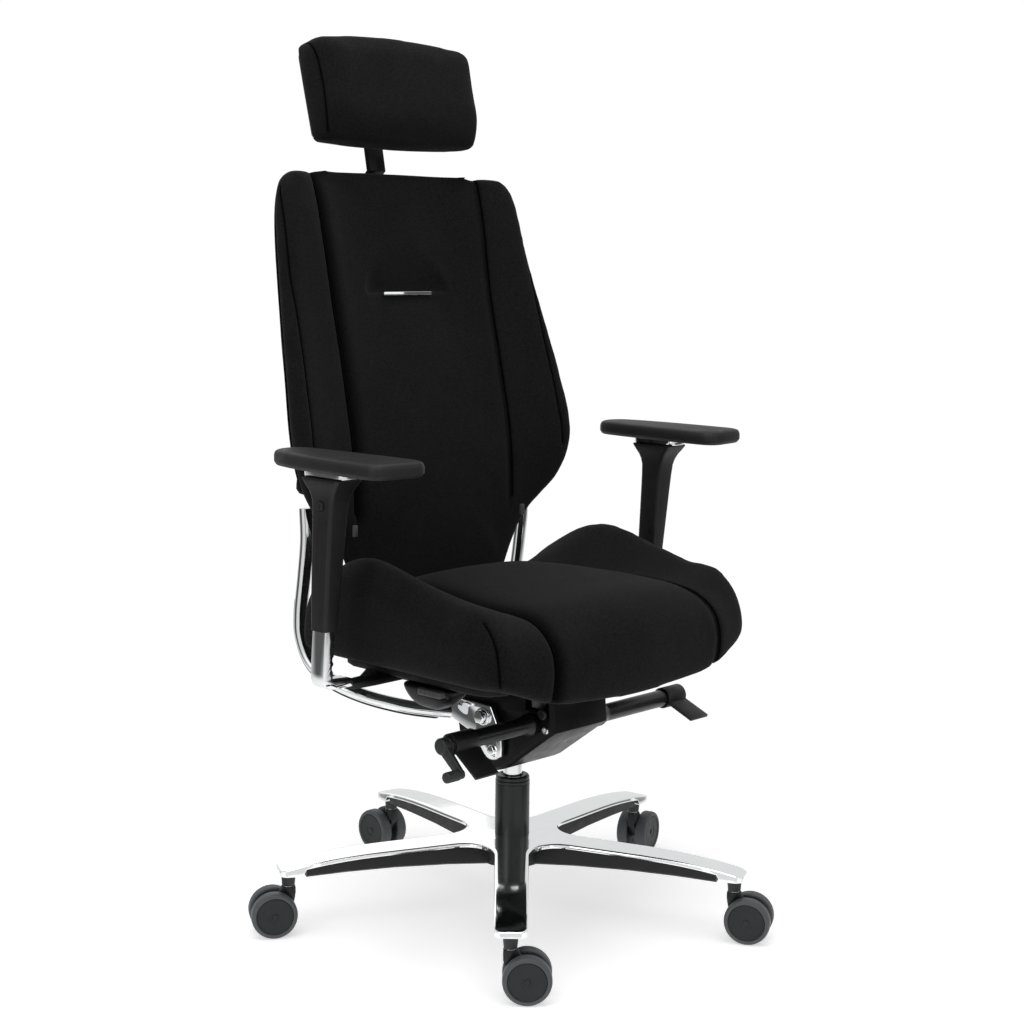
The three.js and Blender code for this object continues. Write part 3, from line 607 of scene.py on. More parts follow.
def modified(mesh, *modifiers):
    """The mesh that modifiers make of it, with nothing left on a stack."""
    obj = linked("work", mesh)
    for kind, settings in modifiers:
        modifier = obj.modifiers.new(kind.lower(), kind)
        for key, value in settings.items():
            setattr(modifier, key, value)
    out = bpy.data.meshes.new_from_object(obj.evaluated_get(bpy.context.evaluated_depsgraph_get()))
    bpy.data.objects.remove(obj)
    return out


def coordinates(mesh):
    co = np.empty(len(mesh.vertices) * 3)
    mesh.vertices.foreach_get("co", co)
    return co.reshape(-1, 3)


def set_coordinates(mesh, co):
    mesh.vertices.foreach_set("co", np.ascontiguousarray(co).ravel())
    mesh.update()


def normals(mesh):
    out = np.empty(len(mesh.vertices) * 3)
    mesh.vertices.foreach_get("normal", out)
    return out.reshape(-1, 3)


def relaxed(mesh, rounds, factor=0.5):
    edges = np.empty(len(mesh.edges) * 2, dtype=np.int64)
    mesh.edges.foreach_get("vertices", edges)
    a, b = edges.reshape(-1, 2).T
    co = coordinates(mesh)
    count = np.bincount(np.concatenate([a, b]), minlength=len(co))[:, None]
    for _ in range(rounds):
        total = np.zeros_like(co)
        np.add.at(total, a, co[b])
        np.add.at(total, b, co[a])
        co += (total / count - co) * factor
    set_coordinates(mesh, co)


def surface_tree(mesh):
    return BVHTree.FromPolygons([v.co for v in mesh.vertices], [p.vertices for p in mesh.polygons])


def laid(mesh, line):
    """(point, normal) on the mesh nearest to each point of a line given in millimetres."""
    tree = surface_tree(mesh)
    points = dense([at(q) for q in line], LAY_STEP_M)
    for _ in range(2):
        points = [tree.find_nearest(p)[0] for p in points]
        for _ in range(6):
            points[1:-1] = [(a + p * 2 + b) / 4 for a, p, b in zip(points, points[1:], points[2:])]
    return [tree.find_nearest(p)[:2] for p in points]


def dense(points, step_m=SEAM_STEP_M):
    """Points of a line with more put in between, at most step_m apart or a little over."""
    out = []
    for a, b in zip(points, points[1:]):
        count = max(1, int((b - a).length / step_m))
        out += [a.lerp(b, k / count) for k in range(count)]
    return out + [points[-1]]


def kd_tree(points):
    tree = KDTree(len(points))
    for i, p in enumerate(points):
        tree.insert(p, i)
    tree.balance()
    return tree


def nearest_of(mesh, points):
    """For each vertex, the nearest of some points and how far it is."""
    tree = kd_tree(points)
    found = [tree.find(v.co) for v in mesh.vertices]
    return np.array([f[0] for f in found]), np.array([f[2] for f in found])


def distances(mesh, points):
    return nearest_of(mesh, points)[1]


def valley(mesh, lines):
    """For each vertex, its depth in the hollow beside a seam and how much painted shade it gets there, from
    0 to 1.

    The hollow is on the side of the seam that faces the middle of the cushion.
    """
    marks, away = nearest_of(mesh, dense_points(lines))
    co = coordinates(mesh)
    inside = np.abs(marks[:, 0] - column_m.x) - np.abs(co[:, 0] - column_m.x)
    shade = np.where(marks[:, 0] < column_m.x, SHADE_LEFT, SHADE_RIGHT)
    panel = np.clip(inside / VALLEY_START_M, 0, 1)
    return np.exp(-(away / VALLEY_WIDE_M) ** 2) * panel, np.exp(-(away / SHADE_WIDE_M) ** 2) * panel * shade


def puffed(mesh, pinned, cap_m):
    """Blows the closed cloth up between its pinned seams, moving no point further than cap_m."""
    start = coordinates(mesh)
    obj = linked("sim", mesh)
    group = obj.vertex_groups.new(name="held")
    for i in np.nonzero(pinned > 0.01)[0]:
        group.add([int(i)], float(pinned[i]), "REPLACE")
    cloth = obj.modifiers.new("cloth", "CLOTH")
    cloth.settings.vertex_group_mass = "held"
    cloth.settings.use_pressure = True
    cloth.settings.uniform_pressure_force = PRESSURE
    cloth.settings.effector_weights.gravity = 0.0
    cloth.settings.quality = 4
    cloth.settings.tension_stiffness = 12
    cloth.settings.compression_stiffness = 12
    cloth.settings.bending_stiffness = 0.6
    cloth.collision_settings.use_collision = False
    cloth.point_cache.frame_start = 1
    cloth.point_cache.frame_end = SIM_FRAMES
    scene = bpy.context.scene
    for number in range(1, SIM_FRAMES + 1):
        scene.frame_set(number)
    out = bpy.data.meshes.new_from_object(obj.evaluated_get(bpy.context.evaluated_depsgraph_get()))
    bpy.data.objects.remove(obj)
    scene.frame_set(1)
    shift = coordinates(out) - start
    length = np.linalg.norm(shift, axis=1, keepdims=True)
    shift *= cap_m * np.tanh(length / cap_m) / np.maximum(length, 1e-9)
    set_coordinates(out, start + shift)
    return out


def drawn_to(mesh, lines, reach_m):
    """Pulls the surface onto measured seam lines, fading out with the distance from them."""
    marks, shifts = [], []
    for line in lines:
        points = dense([at(q) for q in line], LAY_STEP_M)
        tree = surface_tree(mesh)
        moves = np.array([p - tree.find_nearest(p)[0] for p in points])
        kernel = np.ones(9) / 9
        padded = np.pad(moves, ((4, 4), (0, 0)), mode="edge")
        moves = np.stack([np.convolve(padded[:, c], kernel, "valid") for c in range(3)], axis=1)
        marks += points
        shifts.append(moves)
    shifts = np.concatenate(shifts)
    tree = kd_tree(marks)
    co = coordinates(mesh)
    for i, v in enumerate(mesh.vertices):
        _, nearest, away = tree.find(v.co)
        co[i] += shifts[nearest] * math.exp(-(away / reach_m) ** 2)
    set_coordinates(mesh, co)


def cushion(name, node, body, mesh, seams, fitted, held, voxel_m, start_in_m, cap_m, reach_m=0.045):
    """Upholstered cushion: a mesh softened, blown up between its seams, then sewn along them.

    seams are the sewn lines, first the fitted ones, which are measured well enough for the surface
    to be pulled onto them, all as points in millimetres. held gives, for a point in millimetres and
    its normal, how firmly the cushion is fixed there, from 0 to 1.
    """
    mesh = modified(mesh, ("REMESH", {"mode": "VOXEL", "voxel_size": voxel_m}))
    relaxed(mesh, 4)
    away = distances(mesh, [p for line in seams for p, _ in laid(mesh, line)])
    most_m = cap_m * (1 - HOLD * np.exp(-(away / HOLD_WIDE_M) ** 2))[:, None]
    co = coordinates(mesh)
    out = normals(mesh)
    free = 1 - np.array([held(back_to_mm(p), n) for p, n in zip(co, out)])
    set_coordinates(mesh, co - out * start_in_m)
    mesh = puffed(mesh, 1 - free, most_m)
    relaxed(mesh, 8)
    if fitted:
        drawn_to(mesh, fitted, reach_m)
    relaxed(mesh, 3)
    mesh = modified(mesh, ("SUBSURF", {"levels": 1, "render_levels": 1}))
    lines = [laid(mesh, line) for line in seams]
    away = distances(mesh, dense_points(lines))
    co, out = coordinates(mesh), normals(mesh)
    groove = np.exp(-(away / GROOVE_WIDE_M) ** 2) + SINK_SHARE * np.exp(-(away / SINK_WIDE_M) ** 2)
    groove *= GROOVE_DEEP_M
    # Painted shade: darkest along each seam line and, beside the fitted seams, in their hollows; kept as an
    # attribute for the cloth.
    dark = SEAM_SHADE * np.exp(-(away / SEAM_SHADE_WIDE_M) ** 2)
    if fitted:
        hollow, shaded = valley(mesh, [laid(mesh, line) for line in fitted])
        groove += VALLEY_DEEP_M * hollow
        dark = np.maximum(dark, shaded)
    mesh.attributes.new(SHADE_ATTRIBUTE, "FLOAT", "POINT").data.foreach_set("value", dark)
    drift = np.array([sum(noise.noise(Vector(p) * scale) * high for scale, high in DRIFT) for p in co])
    set_coordinates(mesh, co + out * (drift - groove)[:, None])
    mesh.materials.clear()
    mesh.materials.append(FABRIC)
    mesh.shade_smooth()
    obj = linked(name, mesh)
    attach(obj, body)
    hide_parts(node)
    # Each seam gets a dark cord of painted shade in its groove.
    for number, line in enumerate(lines):
        radius = CORD_MM if number < len(fitted) else FINE_CORD_MM
        seam_shade_cord(f"{name}_seam_{number + 1}", line, body, radius)
    return obj


def dense_points(lines):
    return [p for line in lines for p in dense([q for q, _ in line])]


def seam_shade_cord(name, line, body, radius):
    """Painted shade of a seam: a thin dark cord lying in the groove, which draws the seam as a dark line.
    """
    points = [back_to_mm(p) for p, _ in line]
    rings = []
    for k, (p, (_, out)) in enumerate(zip(points, line)):
        along = (points[min(k + 1, len(points) - 1)] - points[max(k - 1, 0)]).normalized()
        across = along.cross(out).normalized()
        up = across.cross(along)
        size = radius * (0.5 if k in (0, len(points) - 1) else 1)
        middle = p - up * CORD_DEPTH_MM
        rings.append([middle + (across * math.cos(q) + up * math.sin(q)) * size
                      for q in (math.pi / 4 * i for i in range(8))])
    piece(name, loft(rings), body, SHADE_CORD)


# ---------- materials in use ----------
FABRIC = fabric_material()
# Near-black and without specular: painted shade for the seam lines.
SHADE_CORD = plastic_material("seam_shade_cord", (0.0004, 0.0004, 0.0004), (0.0013, 0.0013, 0.0013), (0.85, 1.0),
                        specular=0.0)
BLACK = plastic_material("black_moulding", (0.004, 0.004, 0.0043), (0.016, 0.016, 0.0165), (0.4, 0.54))
SATIN = plastic_material("satin_black_coat", (0.004, 0.0045, 0.005), (0.014, 0.0155, 0.016), (0.26, 0.36),
                         900, 0.00002, 0.4)
HOUSING = plastic_material("housing_black", (0.002, 0.002, 0.0022), (0.009, 0.009, 0.0095), (0.26, 0.4),
                           900, 0.00002, 0.14)
PAD_SKIN = plastic_material("pad_skin", (0.008, 0.008, 0.0083), (0.02, 0.02, 0.0205), (0.5, 0.62),
                            1900, 0.00008, 0.3)
GREY = plastic_material("grey_moulding", (0.02, 0.022, 0.023), (0.045, 0.048, 0.05), (0.42, 0.55))
GREY_DARK = plastic_material("dark_grey_moulding", (0.02, 0.021, 0.022), (0.05, 0.052, 0.054), (0.38, 0.5))
TAB_GREY = plastic_material("tab_grey", (0.055, 0.055, 0.058), (0.11, 0.11, 0.115), (0.45, 0.55))
# Darker than the black mouldings: painted shade, for the arm buttons' recesses, the arm grooves and the
# seat pan under the seat.
RECESS_SHADE = plastic_material("painted_recess_shade", (0.001, 0.001, 0.001), (0.004, 0.004, 0.004), (0.6, 0.8))
DISC = plastic_material("wheel_disc", (0.008, 0.0095, 0.010), (0.019, 0.0215, 0.0225), (0.44, 0.55))
TREAD = rubber_material("grey_tread", (0.045, 0.05, 0.053), (0.082, 0.088, 0.093))
CHROME = metal_material("chrome_plate", (0.74, 0.75, 0.76), (0.88, 0.89, 0.9), (0.03, 0.09), 0.0002)
MIRROR = metal_material("polished_aluminium", (0.86, 0.875, 0.885), (0.94, 0.95, 0.955), (0.045, 0.13),
                        0.00018)
SATIN_METAL = metal_material("satin_aluminium", (0.5, 0.51, 0.52), (0.72, 0.73, 0.74), (0.2, 0.34), 0.0002)


# ---------- castors ----------
SIDES = (("left", -1), ("right", 1))
WHEEL_R = 32.5
WHEEL_IN = 6.9
WHEEL_OUT = 25.0
DISC_R = 26.2


def wheel_forms():
    """Tyre and hub disc of one wheel about +Z, its inner face towards z = 0."""
    tyre = rounded([(DISC_R - 0.4, WHEEL_IN + 2), (28.5, WHEEL_IN), (31.6, WHEEL_IN + 0.4), (WHEEL_R, 9.5),
                    (WHEEL_R, 20.5),
                    (31.4, 23.6), (29.2, WHEEL_OUT), (DISC_R + 0.5, WHEEL_OUT - 0.1),
                    (DISC_R - 0.4, WHEEL_OUT - 1.6)], 1.6)
    disc = rounded([(4.6, WHEEL_IN), (12, WHEEL_IN), (14, WHEEL_IN + 1.2), (DISC_R - 0.5, WHEEL_IN + 1.2),
                    (DISC_R - 0.5, WHEEL_OUT - 1.1), (DISC_R - 1.3, WHEEL_OUT - 0.5),
                    (DISC_R - 2.4, WHEEL_OUT - 0.5),
                    (DISC_R - 2.9, WHEEL_OUT - 1.2), (9, WHEEL_OUT - 0.7), (8.4, WHEEL_OUT - 1.3),
                    (4.6, WHEEL_OUT - 1.3)], 0.5)
    return lathe(tyre, 72), lathe(disc, 72)


def build_castor(name):
    stem = pivot_mm(f"castor_{name}_swivel")
    axle = pivot_mm(f"castor_{name}_wheel_a_spin")
    heading = math.atan2(axle.y - stem.y, axle.x - stem.x)
    trail = math.hypot(axle.y - stem.y, axle.x - stem.x)
    foot = Matrix.Translation((stem.x, stem.y, 0)) @ Matrix.Rotation(heading, 4, "Z")
    body = f"castor_{name}"
    top = box_mm(f"castor_{name}_stem")[1].z - 7
    collar = lathe(rounded([(5.6, 70.2), (8.7, 70.2), (9.0, 71.4), (10.4, top - 1.2), (10.1, top),
                            (5.6, top)], 0.5), 40)
    piece(f"castor_{name}_collar", collar.placed(foot), body, GREY, [f"castor_{name}_stem"])
    ring = lathe(rounded([(5.6, 69.2), (8.2, 69.2), (8.2, 70.0), (5.6, 70.0)], 0.3), 40)
    piece(f"castor_{name}_ring", ring.placed(foot), body, CHROME)
    refined(f"castor_{name}_housing", body, BLACK, bevel=0.7, segments=2, angle=35)
    for word, side in (("a", 1), ("b", -1)):
        turn = foot @ Matrix.Translation((trail, 0, axle.z)) @ Matrix.Rotation(math.radians(-90 * side), 4,
                                                                               "X")
        tyre, disc = wheel_forms()
        body_name = f"castor_{name}_wheel_{word}"
        piece(f"{body_name}_tyre", tyre.placed(turn), body_name, TREAD, [body_name], sharp=50)
        hub = disc
        for k in range(5):
            spoke = slab(round_rect(1.1, 5.2, 0.6, 2), WHEEL_IN + 0.9, WHEEL_IN + 2.2, 0.3, 1).moved(0, 18,
                                                                                                     0)
            hub = hub + spoke.turned(72 * k, "Z")
        piece(f"{body_name}_disc", hub.placed(turn), body_name, DISC)
        cap = lathe(rounded([(0, WHEEL_OUT - 1.3), (4.3, WHEEL_OUT - 1.3), (4.3, WHEEL_OUT - 0.9),
                             (3.4, WHEEL_OUT - 0.4),
                             (0, WHEEL_OUT - 0.2)], 0.3), 32)
        piece(f"castor_{name}_axle_cap_{word}", cap.placed(turn), body, DISC)


# ---------- five-arm base ----------
ARMS = 5
FIRST_ARM = 223.8
ARM_HALF = 24.0
TIP_HALF = 22.0
CASTOR_R = 330.0
TIP_R = 344.5
FILLET_R = 45.0
HOLE_R = 25.4
APEX_R = 58.63                     # where the outlines of two arms meet, measured along an arm
SHELL_MM = 6.0
TIP_LOW = 87.5
TAN36 = math.tan(math.radians(36))


def arm_top(r):
    return 119 - 0.03 * r - 12.7 * max(0.0, (r - 180) / 163) ** 2.5


def arm_half(r):
    plain = lerp(ARM_HALF, TIP_HALF, smoothstep(r, 100, CASTOR_R))
    if r > CASTOR_R:
        return plain - 8 * ((r - CASTOR_R) / (TIP_R - CASTOR_R)) ** 3
    start = (ARM_HALF + FILLET_R) / TAN36
    if r >= start:
        return plain
    drop = min(start - r, FILLET_R * 0.98)
    return min(ARM_HALF + FILLET_R - math.sqrt(FILLET_R ** 2 - drop ** 2), r * TAN36)


def star_form():
    """Shell of the five-armed star: a hub and five arms whose top edges are rounded off."""
    edge = [0.0, 0.35, 1.0, 1.9, 3.0]
    edge_drop = 2.4
    inner = [-0.86, -0.6, -0.3, 0, 0.3, 0.6, 0.86]
    hub_steps = [0, 0.25, 0.5, 0.7, 0.84, 0.91, 0.955, 0.985]
    stations = [APEX_R, 60, 62, 65, 69, 74, 80, 87, 95, 110, 130, 155, 180, 205, 230, 255, 275, 292, 304,
                308,
                314, 320, 326, 331, 335, 338.5, 341.5, 343.6, TIP_R]

    def row(r):
        w = arm_half(r)
        return [-(w - d) for d in edge] + [f * (w - 3) for f in inner] + [w - d for d in reversed(edge)]

    first = row(APEX_R)
    fine = []
    for a in range(ARMS):
        turn = Matrix.Rotation(math.radians(FIRST_ARM + 72 * a), 2)
        for side in (-1, 1):
            steps = [APEX_R + (TIP_R - APEX_R) * k / 400 for k in range(401)]
            fine += [turn @ Vector((r, side * arm_half(r))) for r in steps]
        w = arm_half(TIP_R)
        fine += [turn @ Vector((TIP_R, w * (k / 20 - 1))) for k in range(41)]
    rim = kd_tree([p.to_3d() for p in fine])

    form = Form()
    for a in range(ARMS):
        turn = Matrix.Rotation(math.radians(FIRST_ARM + 72 * a), 4, "Z")
        top = []
        for s in hub_steps:
            ring = []
            for y in first:
                theta = math.atan2(y, APEX_R)
                rho = lerp(HOLE_R, APEX_R / math.cos(theta), s)
                ring.append((rho * math.cos(theta), rho * math.sin(theta)))
            top.append(ring)
        for r in stations:
            top.append([(r, y) for y in row(r)])
        top_points, low_points = [], []
        for ring in top:
            for x, y in ring:
                q = turn @ Vector((x, y, 0))
                near = max(0.0, 1 - rim.find((q.x, q.y, 0))[2] / edge[-1])
                z = arm_top(x) - edge_drop * (1 - math.sqrt(max(0.0, 1 - near * near)))
                top_points.append(Vector((q.x, q.y, z)))
                under = arm_top(x) - SHELL_MM
                if x > 308:
                    under = lerp(under, TIP_LOW, smoothstep(x, 308, 314))
                low_points.append(Vector((q.x, q.y, min(under, z - 1.2))))
        n = len(first)
        faces = []
        base = len(top_points)
        rows = len(top)
        for k in range(rows - 1):
            for i in range(n - 1):
                p, q = k * n + i, (k + 1) * n + i
                faces.append((p, q, q + 1, p + 1))
                faces.append((base + p, base + p + 1, base + q + 1, base + q))
        for i in range(n - 1):
            end = (rows - 1) * n + i
            faces.append((end, base + end, base + end + 1, end + 1))
            faces.append((i, i + 1, base + i + 1, base + i))
        for k in range(len(hub_steps), rows - 1):
            for i in (0, n - 1):
                p, q = k * n + i, (k + 1) * n + i
                faces.append((p, base + p, base + q, q) if i == 0 else (p, q, base + q, base + p))
        form = form + Form(top_points + low_points, faces)
    return form


COLLAR_R = 24.4


def build_base():
    piece("star_base_finished", star_form(), "base", MIRROR, ["star_base"], sharp=50)
    boss = lathe(rounded([(25.4, 79), (33, 79), (38, 106), (43.6, 112.2), (43.6, 113), (25.4, 113)], 1.0),
                 72)
    piece("star_base_boss", boss, "base", SATIN_METAL)
    refined("star_base_under_cover", "base", BLACK, bevel=1.6, segments=3, angle=30)
    low, high = box_mm("gas_spring_tube")
    r = (high.x - low.x) / 2
    tube = rounded([(0, low.z), (r - 3, low.z), (r, low.z + 5), (r, high.z - 5.2), (r - 0.5, high.z - 4.8),
                    (r - 0.5, high.z - 4.2),
                    (r, high.z - 3.8), (r, high.z - 0.6), (r - 0.8, high.z), (14.9, high.z),
                    (14.9, low.z + 7), (0, low.z + 7)], 0.5)
    piece("gas_spring_tube_finished", lathe(tube, 96), "base", SATIN, ["gas_spring_tube"])
    low, high = box_mm("column_collar")
    r = min((high.x - low.x) / 2, COLLAR_R)
    rim = rounded([(14.9, low.z), (r, low.z), (r, high.z - 2.6), (r - 1.4, high.z - 0.6), (r - 3.2, high.z),
                   (17.5, high.z),
                   (16.2, high.z - 1.2), (14.9, high.z - 1.2)], 0.6)
    piece("column_collar_finished", lathe(rim, 96), "base", SATIN, ["column_collar"])
    low, high = box_mm("gas_spring_piston")
    r = (high.x - low.x) / 2
    rod = rounded([(0, low.z), (r - 1, low.z), (r, low.z + 1), (r, high.z - 4), (r - 0.6, high.z),
                   (0, high.z)], 0.4)
    piece("gas_spring_piston_finished", lathe(rod, 72), "gas_spring", CHROME, ["gas_spring_piston"])


# ---------- mechanism ----------
def screw_head(radius, height, socket=0.45, sides=6):
    """Round screw head about +Z with a sunk socket."""
    count = 36
    rings = []
    for r, z in ((radius, 0), (radius, height * 0.55), (radius * 0.86, height)):
        rings.append([Vector((r * math.cos(2 * math.pi * i / count), r * math.sin(2 * math.pi * i / count),
                              z))
                      for i in range(count)])
    for scale, z in ((socket, height), (socket * 0.92, height * 0.35)):
        ring = []
        for i in range(count):
            t = 2 * math.pi * i / count
            lobe = 1 + 0.1 * math.cos(sides * t)
            ring.append(Vector((radius * scale * lobe * math.cos(t), radius * scale * lobe * math.sin(t),
                                z)))
        rings.append(ring)
    return loft(rings)


def facing(x, y, z, toward):
    """Matrix that stands a form made about +Z at a point, facing toward."""
    turn = Vector(toward).to_track_quat("Z", "Y").to_matrix().to_4x4()
    return Matrix.Translation((x, y, z)) @ turn


def build_mechanism():
    refined("mechanism_housing", "mechanism", HOUSING, bevel=2.2, segments=3, angle=22)
    # Cover that closes the sloping front, held by a screw at each side.
    outline = [(-50, -2), (50, -2), (50, 58), (30, 63), (-30, 63), (-50, 58)]
    cover = slab(outline, 0, 2.2, 1.0, 3)
    slope = math.degrees(math.atan2(54, 73))
    place = Matrix.Translation((0, -116, 291.5)) @ Matrix.Rotation(math.radians(-slope), 4, "X")
    turn = place @ Matrix.Rotation(math.radians(180), 4, "X") @ Matrix.Rotation(math.radians(180), 4, "Z")
    piece("mechanism_front_cover", cover.placed(turn), "mechanism", HOUSING)
    refined("main_axle", "mechanism", CHROME, bevel=0.8, angle=35)
    for word, side, tube_joint in (("left", -1, "tilt_lock_lever_press"),
                                   ("right", 1, "height_lever_press")):
        node = f"lever_tube_{word}"
        low, high = box_mm(node)
        middle = pivot_mm(tube_joint)
        near = min(abs(low.x), abs(high.x))
        far = max(abs(low.x), abs(high.x))
        flange = (high.z - low.z) / 2
        r = flange - 4
        profile = rounded([(0, near), (flange, near), (flange, near + 7), (r + 1.4, near + 14),
                           (r, near + 20), (r, far - 5.4),
                           (r - 0.5, far - 5), (r - 0.5, far - 4.4), (r, far - 4), (r, far - 1.2),
                           (r - 1.2, far), (0, far)], 0.8)
        tube = lathe_x(profile, side, 56).moved(0, middle.y, middle.z)
        piece(f"{node}_finished", tube, "mechanism", SATIN, [node])
    screw = screw_head(5.2, 3.2)
    cap = lathe(rounded([(0, 0), (8, 0), (8, 2.5), (6.4, 4), (0, 4.4)], 0.8), 40)
    for word, side in SIDES:
        cheek = side * (58 - 0.2)
        spot = facing(cheek, -118, 303, (side, 0, 0))
        piece(f"mechanism_screw_{word}", screw.placed(spot), "mechanism", CHROME)
        spot = facing(cheek, -112, 325, (side, 0, 0))
        piece(f"mechanism_cap_{word}", cap.placed(spot), "mechanism", BLACK)
    for node in ("tilt_lock_lever", "height_lever"):
        refined(node, node, BLACK, bevel=0.7, segments=2, angle=35)
    build_crank()


def build_crank():
    low, high = box_mm("tension_crank")
    middle = pivot_mm("tension_crank_turn")
    inner = -high.x
    hub = lathe_x(rounded([(0, inner), (11.4, inner), (11.6, inner + 2), (11.6, inner + 9.5),
                           (10.6, inner + 11), (9.6, inner + 11.2),
                           (9.2, inner + 12), (0, inner + 12)], 0.7), -1, 48)
    half_turn = [math.radians(180 * k / 12) for k in range(13)]
    link_outline = [(-46 - 6.5 * math.sin(t), 6.5 * math.cos(t)) for t in half_turn]
    link_outline += [(9 * math.sin(t), -9 * math.cos(t)) for t in half_turn]
    link = slab(link_outline, inner + 3.2, inner + 9.4, 1.2, 3)
    to_side = Matrix(((0, 0, -1, 0), (1, 0, 0, 0), (0, 1, 0, 0), (0, 0, 0, 1)))
    link = link.placed(to_side)
    ribs = []
    far = -low.x
    for k in range(4):
        x = inner + 13 + k * 5
        ribs += [(7.4, x), (7.4, x + 3.4), (6.9, x + 3.7), (6.9, x + 4.7)]
    knob = [(0, inner + 3), (6.2, inner + 3), (6.2, inner + 10),
            (7.4, inner + 11)] + ribs + [(7.2, far - 1.2), (6.0, far), (0, far)]
    knob = lathe_x(rounded(knob, 0.4, 2), -1, 40).moved(0, -46, 0)
    form = (hub + link + knob).turned(42, "X").moved(0, middle.y, middle.z)
    piece("tension_crank_finished", form, "tension_crank", GREY_DARK, ["tension_crank"])


# ---------- carrier and shells of the backrest ----------
BAR_POINTS = [(220, 200, 594), (220, 198, 550), (220, 204, 498), (220, 212, 440), (219, 211, 408),
              (214, 196, 372),
              (203, 166, 349), (180, 126, 331), (140, 84, 316), (102, 55, 308), (84, 45, 305)]
LINER_IN = 8.2                     # from the middle of the bar to its dark liner
SHELL_SLIM = 0.978                 # the shell is drawn in so that it stays behind the upholstery


def build_carrier():
    for word, side in SIDES:
        path = spline([Vector((side * x, y, z)) for x, y, z in BAR_POINTS], 9)
        section = superellipse(10.3, 7.8, 2.5, 28)
        if side < 0:
            section = [(-u, v) for u, v in reversed(section)]
        bar = sweep(path, section, Vector((side, 0, 0)))
        piece(f"back_bar_{word}_finished", bar, "back_carrier", CHROME, [f"back_bar_{word}"], sharp=60)
        run = path[20:86]
        strip = superellipse(6.2, 1.5, 3.0, 16)
        inner = sweep(run, strip, Vector((side, 0, 0)),
                      lambda t: smoothstep(t, 0, 0.06) * smoothstep(1 - t, 0, 0.06) + 0.02)
        shifted = []
        n = len(strip)
        for k in range(len(run)):
            tangent = (run[min(k + 1, len(run) - 1)] - run[max(k - 1, 0)]).normalized()
            across = Vector((side, 0, 0))
            across = (across - tangent * across.dot(tangent)).normalized()
            out = tangent.cross(across) * side
            shifted += [q - out * LINER_IN for q in inner.points[k * n:(k + 1) * n]]
        piece(f"back_bar_liner_{word}", Form(shifted, inner.faces), "back_carrier", BLACK)
        refined(f"side_plate_{word}", "back_carrier", CHROME, bevel=0.9, segments=2, angle=30)
        washer = lathe(rounded([(9.4, 0), (13, 0), (13, 1.2), (12.2, 1.8), (9.4, 1.8)], 0.4), 48)
        axle = pivot_mm("back_recline")
        piece(f"side_plate_washer_{word}", washer.placed(facing(side * 70, axle.y, axle.z, (side, 0, 0))),
              "back_carrier",
              CHROME)
    moulded("back_carrier_cover", "back_carrier", BLACK, 2)
    shell = moulded("back_shell", "backrest", BLACK, 2)
    for v in shell.data.vertices:
        v.co.x = column_m.x + (v.co.x - column_m.x) * SHELL_SLIM
    for word, side in SIDES:
        for z in (650, 720):
            y = rear_of("back_carrier_cover", side * 120, z)
            head = screw_head(6, 2.6).placed(facing(side * 120, y - 0.3, z, (0, 1, 0)))
            piece(f"cover_screw_{word}_{z}", head, "back_carrier", CHROME)


def rear_of(node, x, z):
    """How far back (y, in millimetres) a CAD node's rear surface lies at x and z."""
    tree = surface_tree(frame["nodes"][node].data)
    hit = tree.ray_cast(at((x, 600, z)), Vector((0, -1, 0)))[0]
    return back_to_mm(hit).y


def moulded(node, body, material, levels, sharp=50):
    """Subdivided and rounded copy of a CAD moulding."""
    mesh = smooth_surface(node, levels)
    mesh.materials.clear()
    mesh.materials.append(material)
    mesh.shade_smooth()
    mesh.set_sharp_from_angle(angle=math.radians(sharp))
    obj = linked(node + "_finished", mesh)
    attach(obj, body)
    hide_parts(node)
    return obj


def build_backrest():
    refined("back_slot_bar", "backrest", CHROME, bevel=0.7, segments=3, angle=30)
    refined("headrest_guide", "backrest", BLACK, bevel=1.2, segments=3, angle=30)
    for word, side in SIDES:
        tab = slab(round_rect(3.4, 2.4, 0.8, 2), 554, 570, 0.6, 2)
        piece(f"back_tab_{word}", tab.moved(side * 171, 151, 0), "backrest", TAB_GREY)


def build_headrest():
    refined("headrest_post", "headrest_post", HOUSING, bevel=1.3, segments=3, angle=30)
    refined("headrest_bracket", "headrest", BLACK, bevel=1.0, segments=2, angle=30)
    rings = []
    for narrower, y in ((9, -30.4), (7.6, -29.8), (7.2, -28.6), (7.6, -27.2), (9, -26.6)):
        rings.append([Vector((x, y, z)) for x, z in head_outline(narrower)])
    piece("headrest_plate_finished", loft(rings).placed(head_turn()), "headrest", CHROME,
          ["headrest_plate"])


# ---------- seat structure ----------
def build_seat_parts():
    refined("seat_frame", "seat_frame", SATIN, bevel=0.9, segments=2, angle=30)
    # The seat pan under the seat gets the near-black of painted shade.
    refined("seat_pan", "seat", RECESS_SHADE, bevel=1.2, segments=2, angle=30)
    moulded("seat_adjuster", "seat", HOUSING, 2, 35)
    low, high = box_mm("seat_depth_button")
    ribs = Form()
    for k in range(5):
        y = lerp(low.y + 7, high.y - 7, k / 4)
        rib = slab(round_rect(0.7, 2.8, 0.5, 2), 0, 0.7, 0.3, 2).turned(90, "Z").turned(-90, "Y")
        ribs = ribs + rib.moved(low.x + 0.2, y, (low.z + high.z) / 2)
    refined("seat_depth_button", "seat_depth_button", TAB_GREY, bevel=0.8, segments=2, angle=30)
    piece("seat_depth_button_grip", ribs, "seat_depth_button", TAB_GREY)


# ---------- armrests ----------
ARM_X = 332.0
ARM_LEAN = 0.08
SLEEVE = [(460, 12.5, 16), (500, 13.4, 16.8), (545, 14.5, 17.6), (590, 15.5, 18.5), (615, 16.0, 19.2),
          (632, 16.5, 20.2),
          (641, 17.6, 22.6), (648, 19, 26), (654, 20.6, 30.6), (660, 22, 35), (662.6, 22.4, 36.8),
          (664, 21.8, 36.6)]


def arm_y(z):
    return 29 - ARM_LEAN * (z - 460)


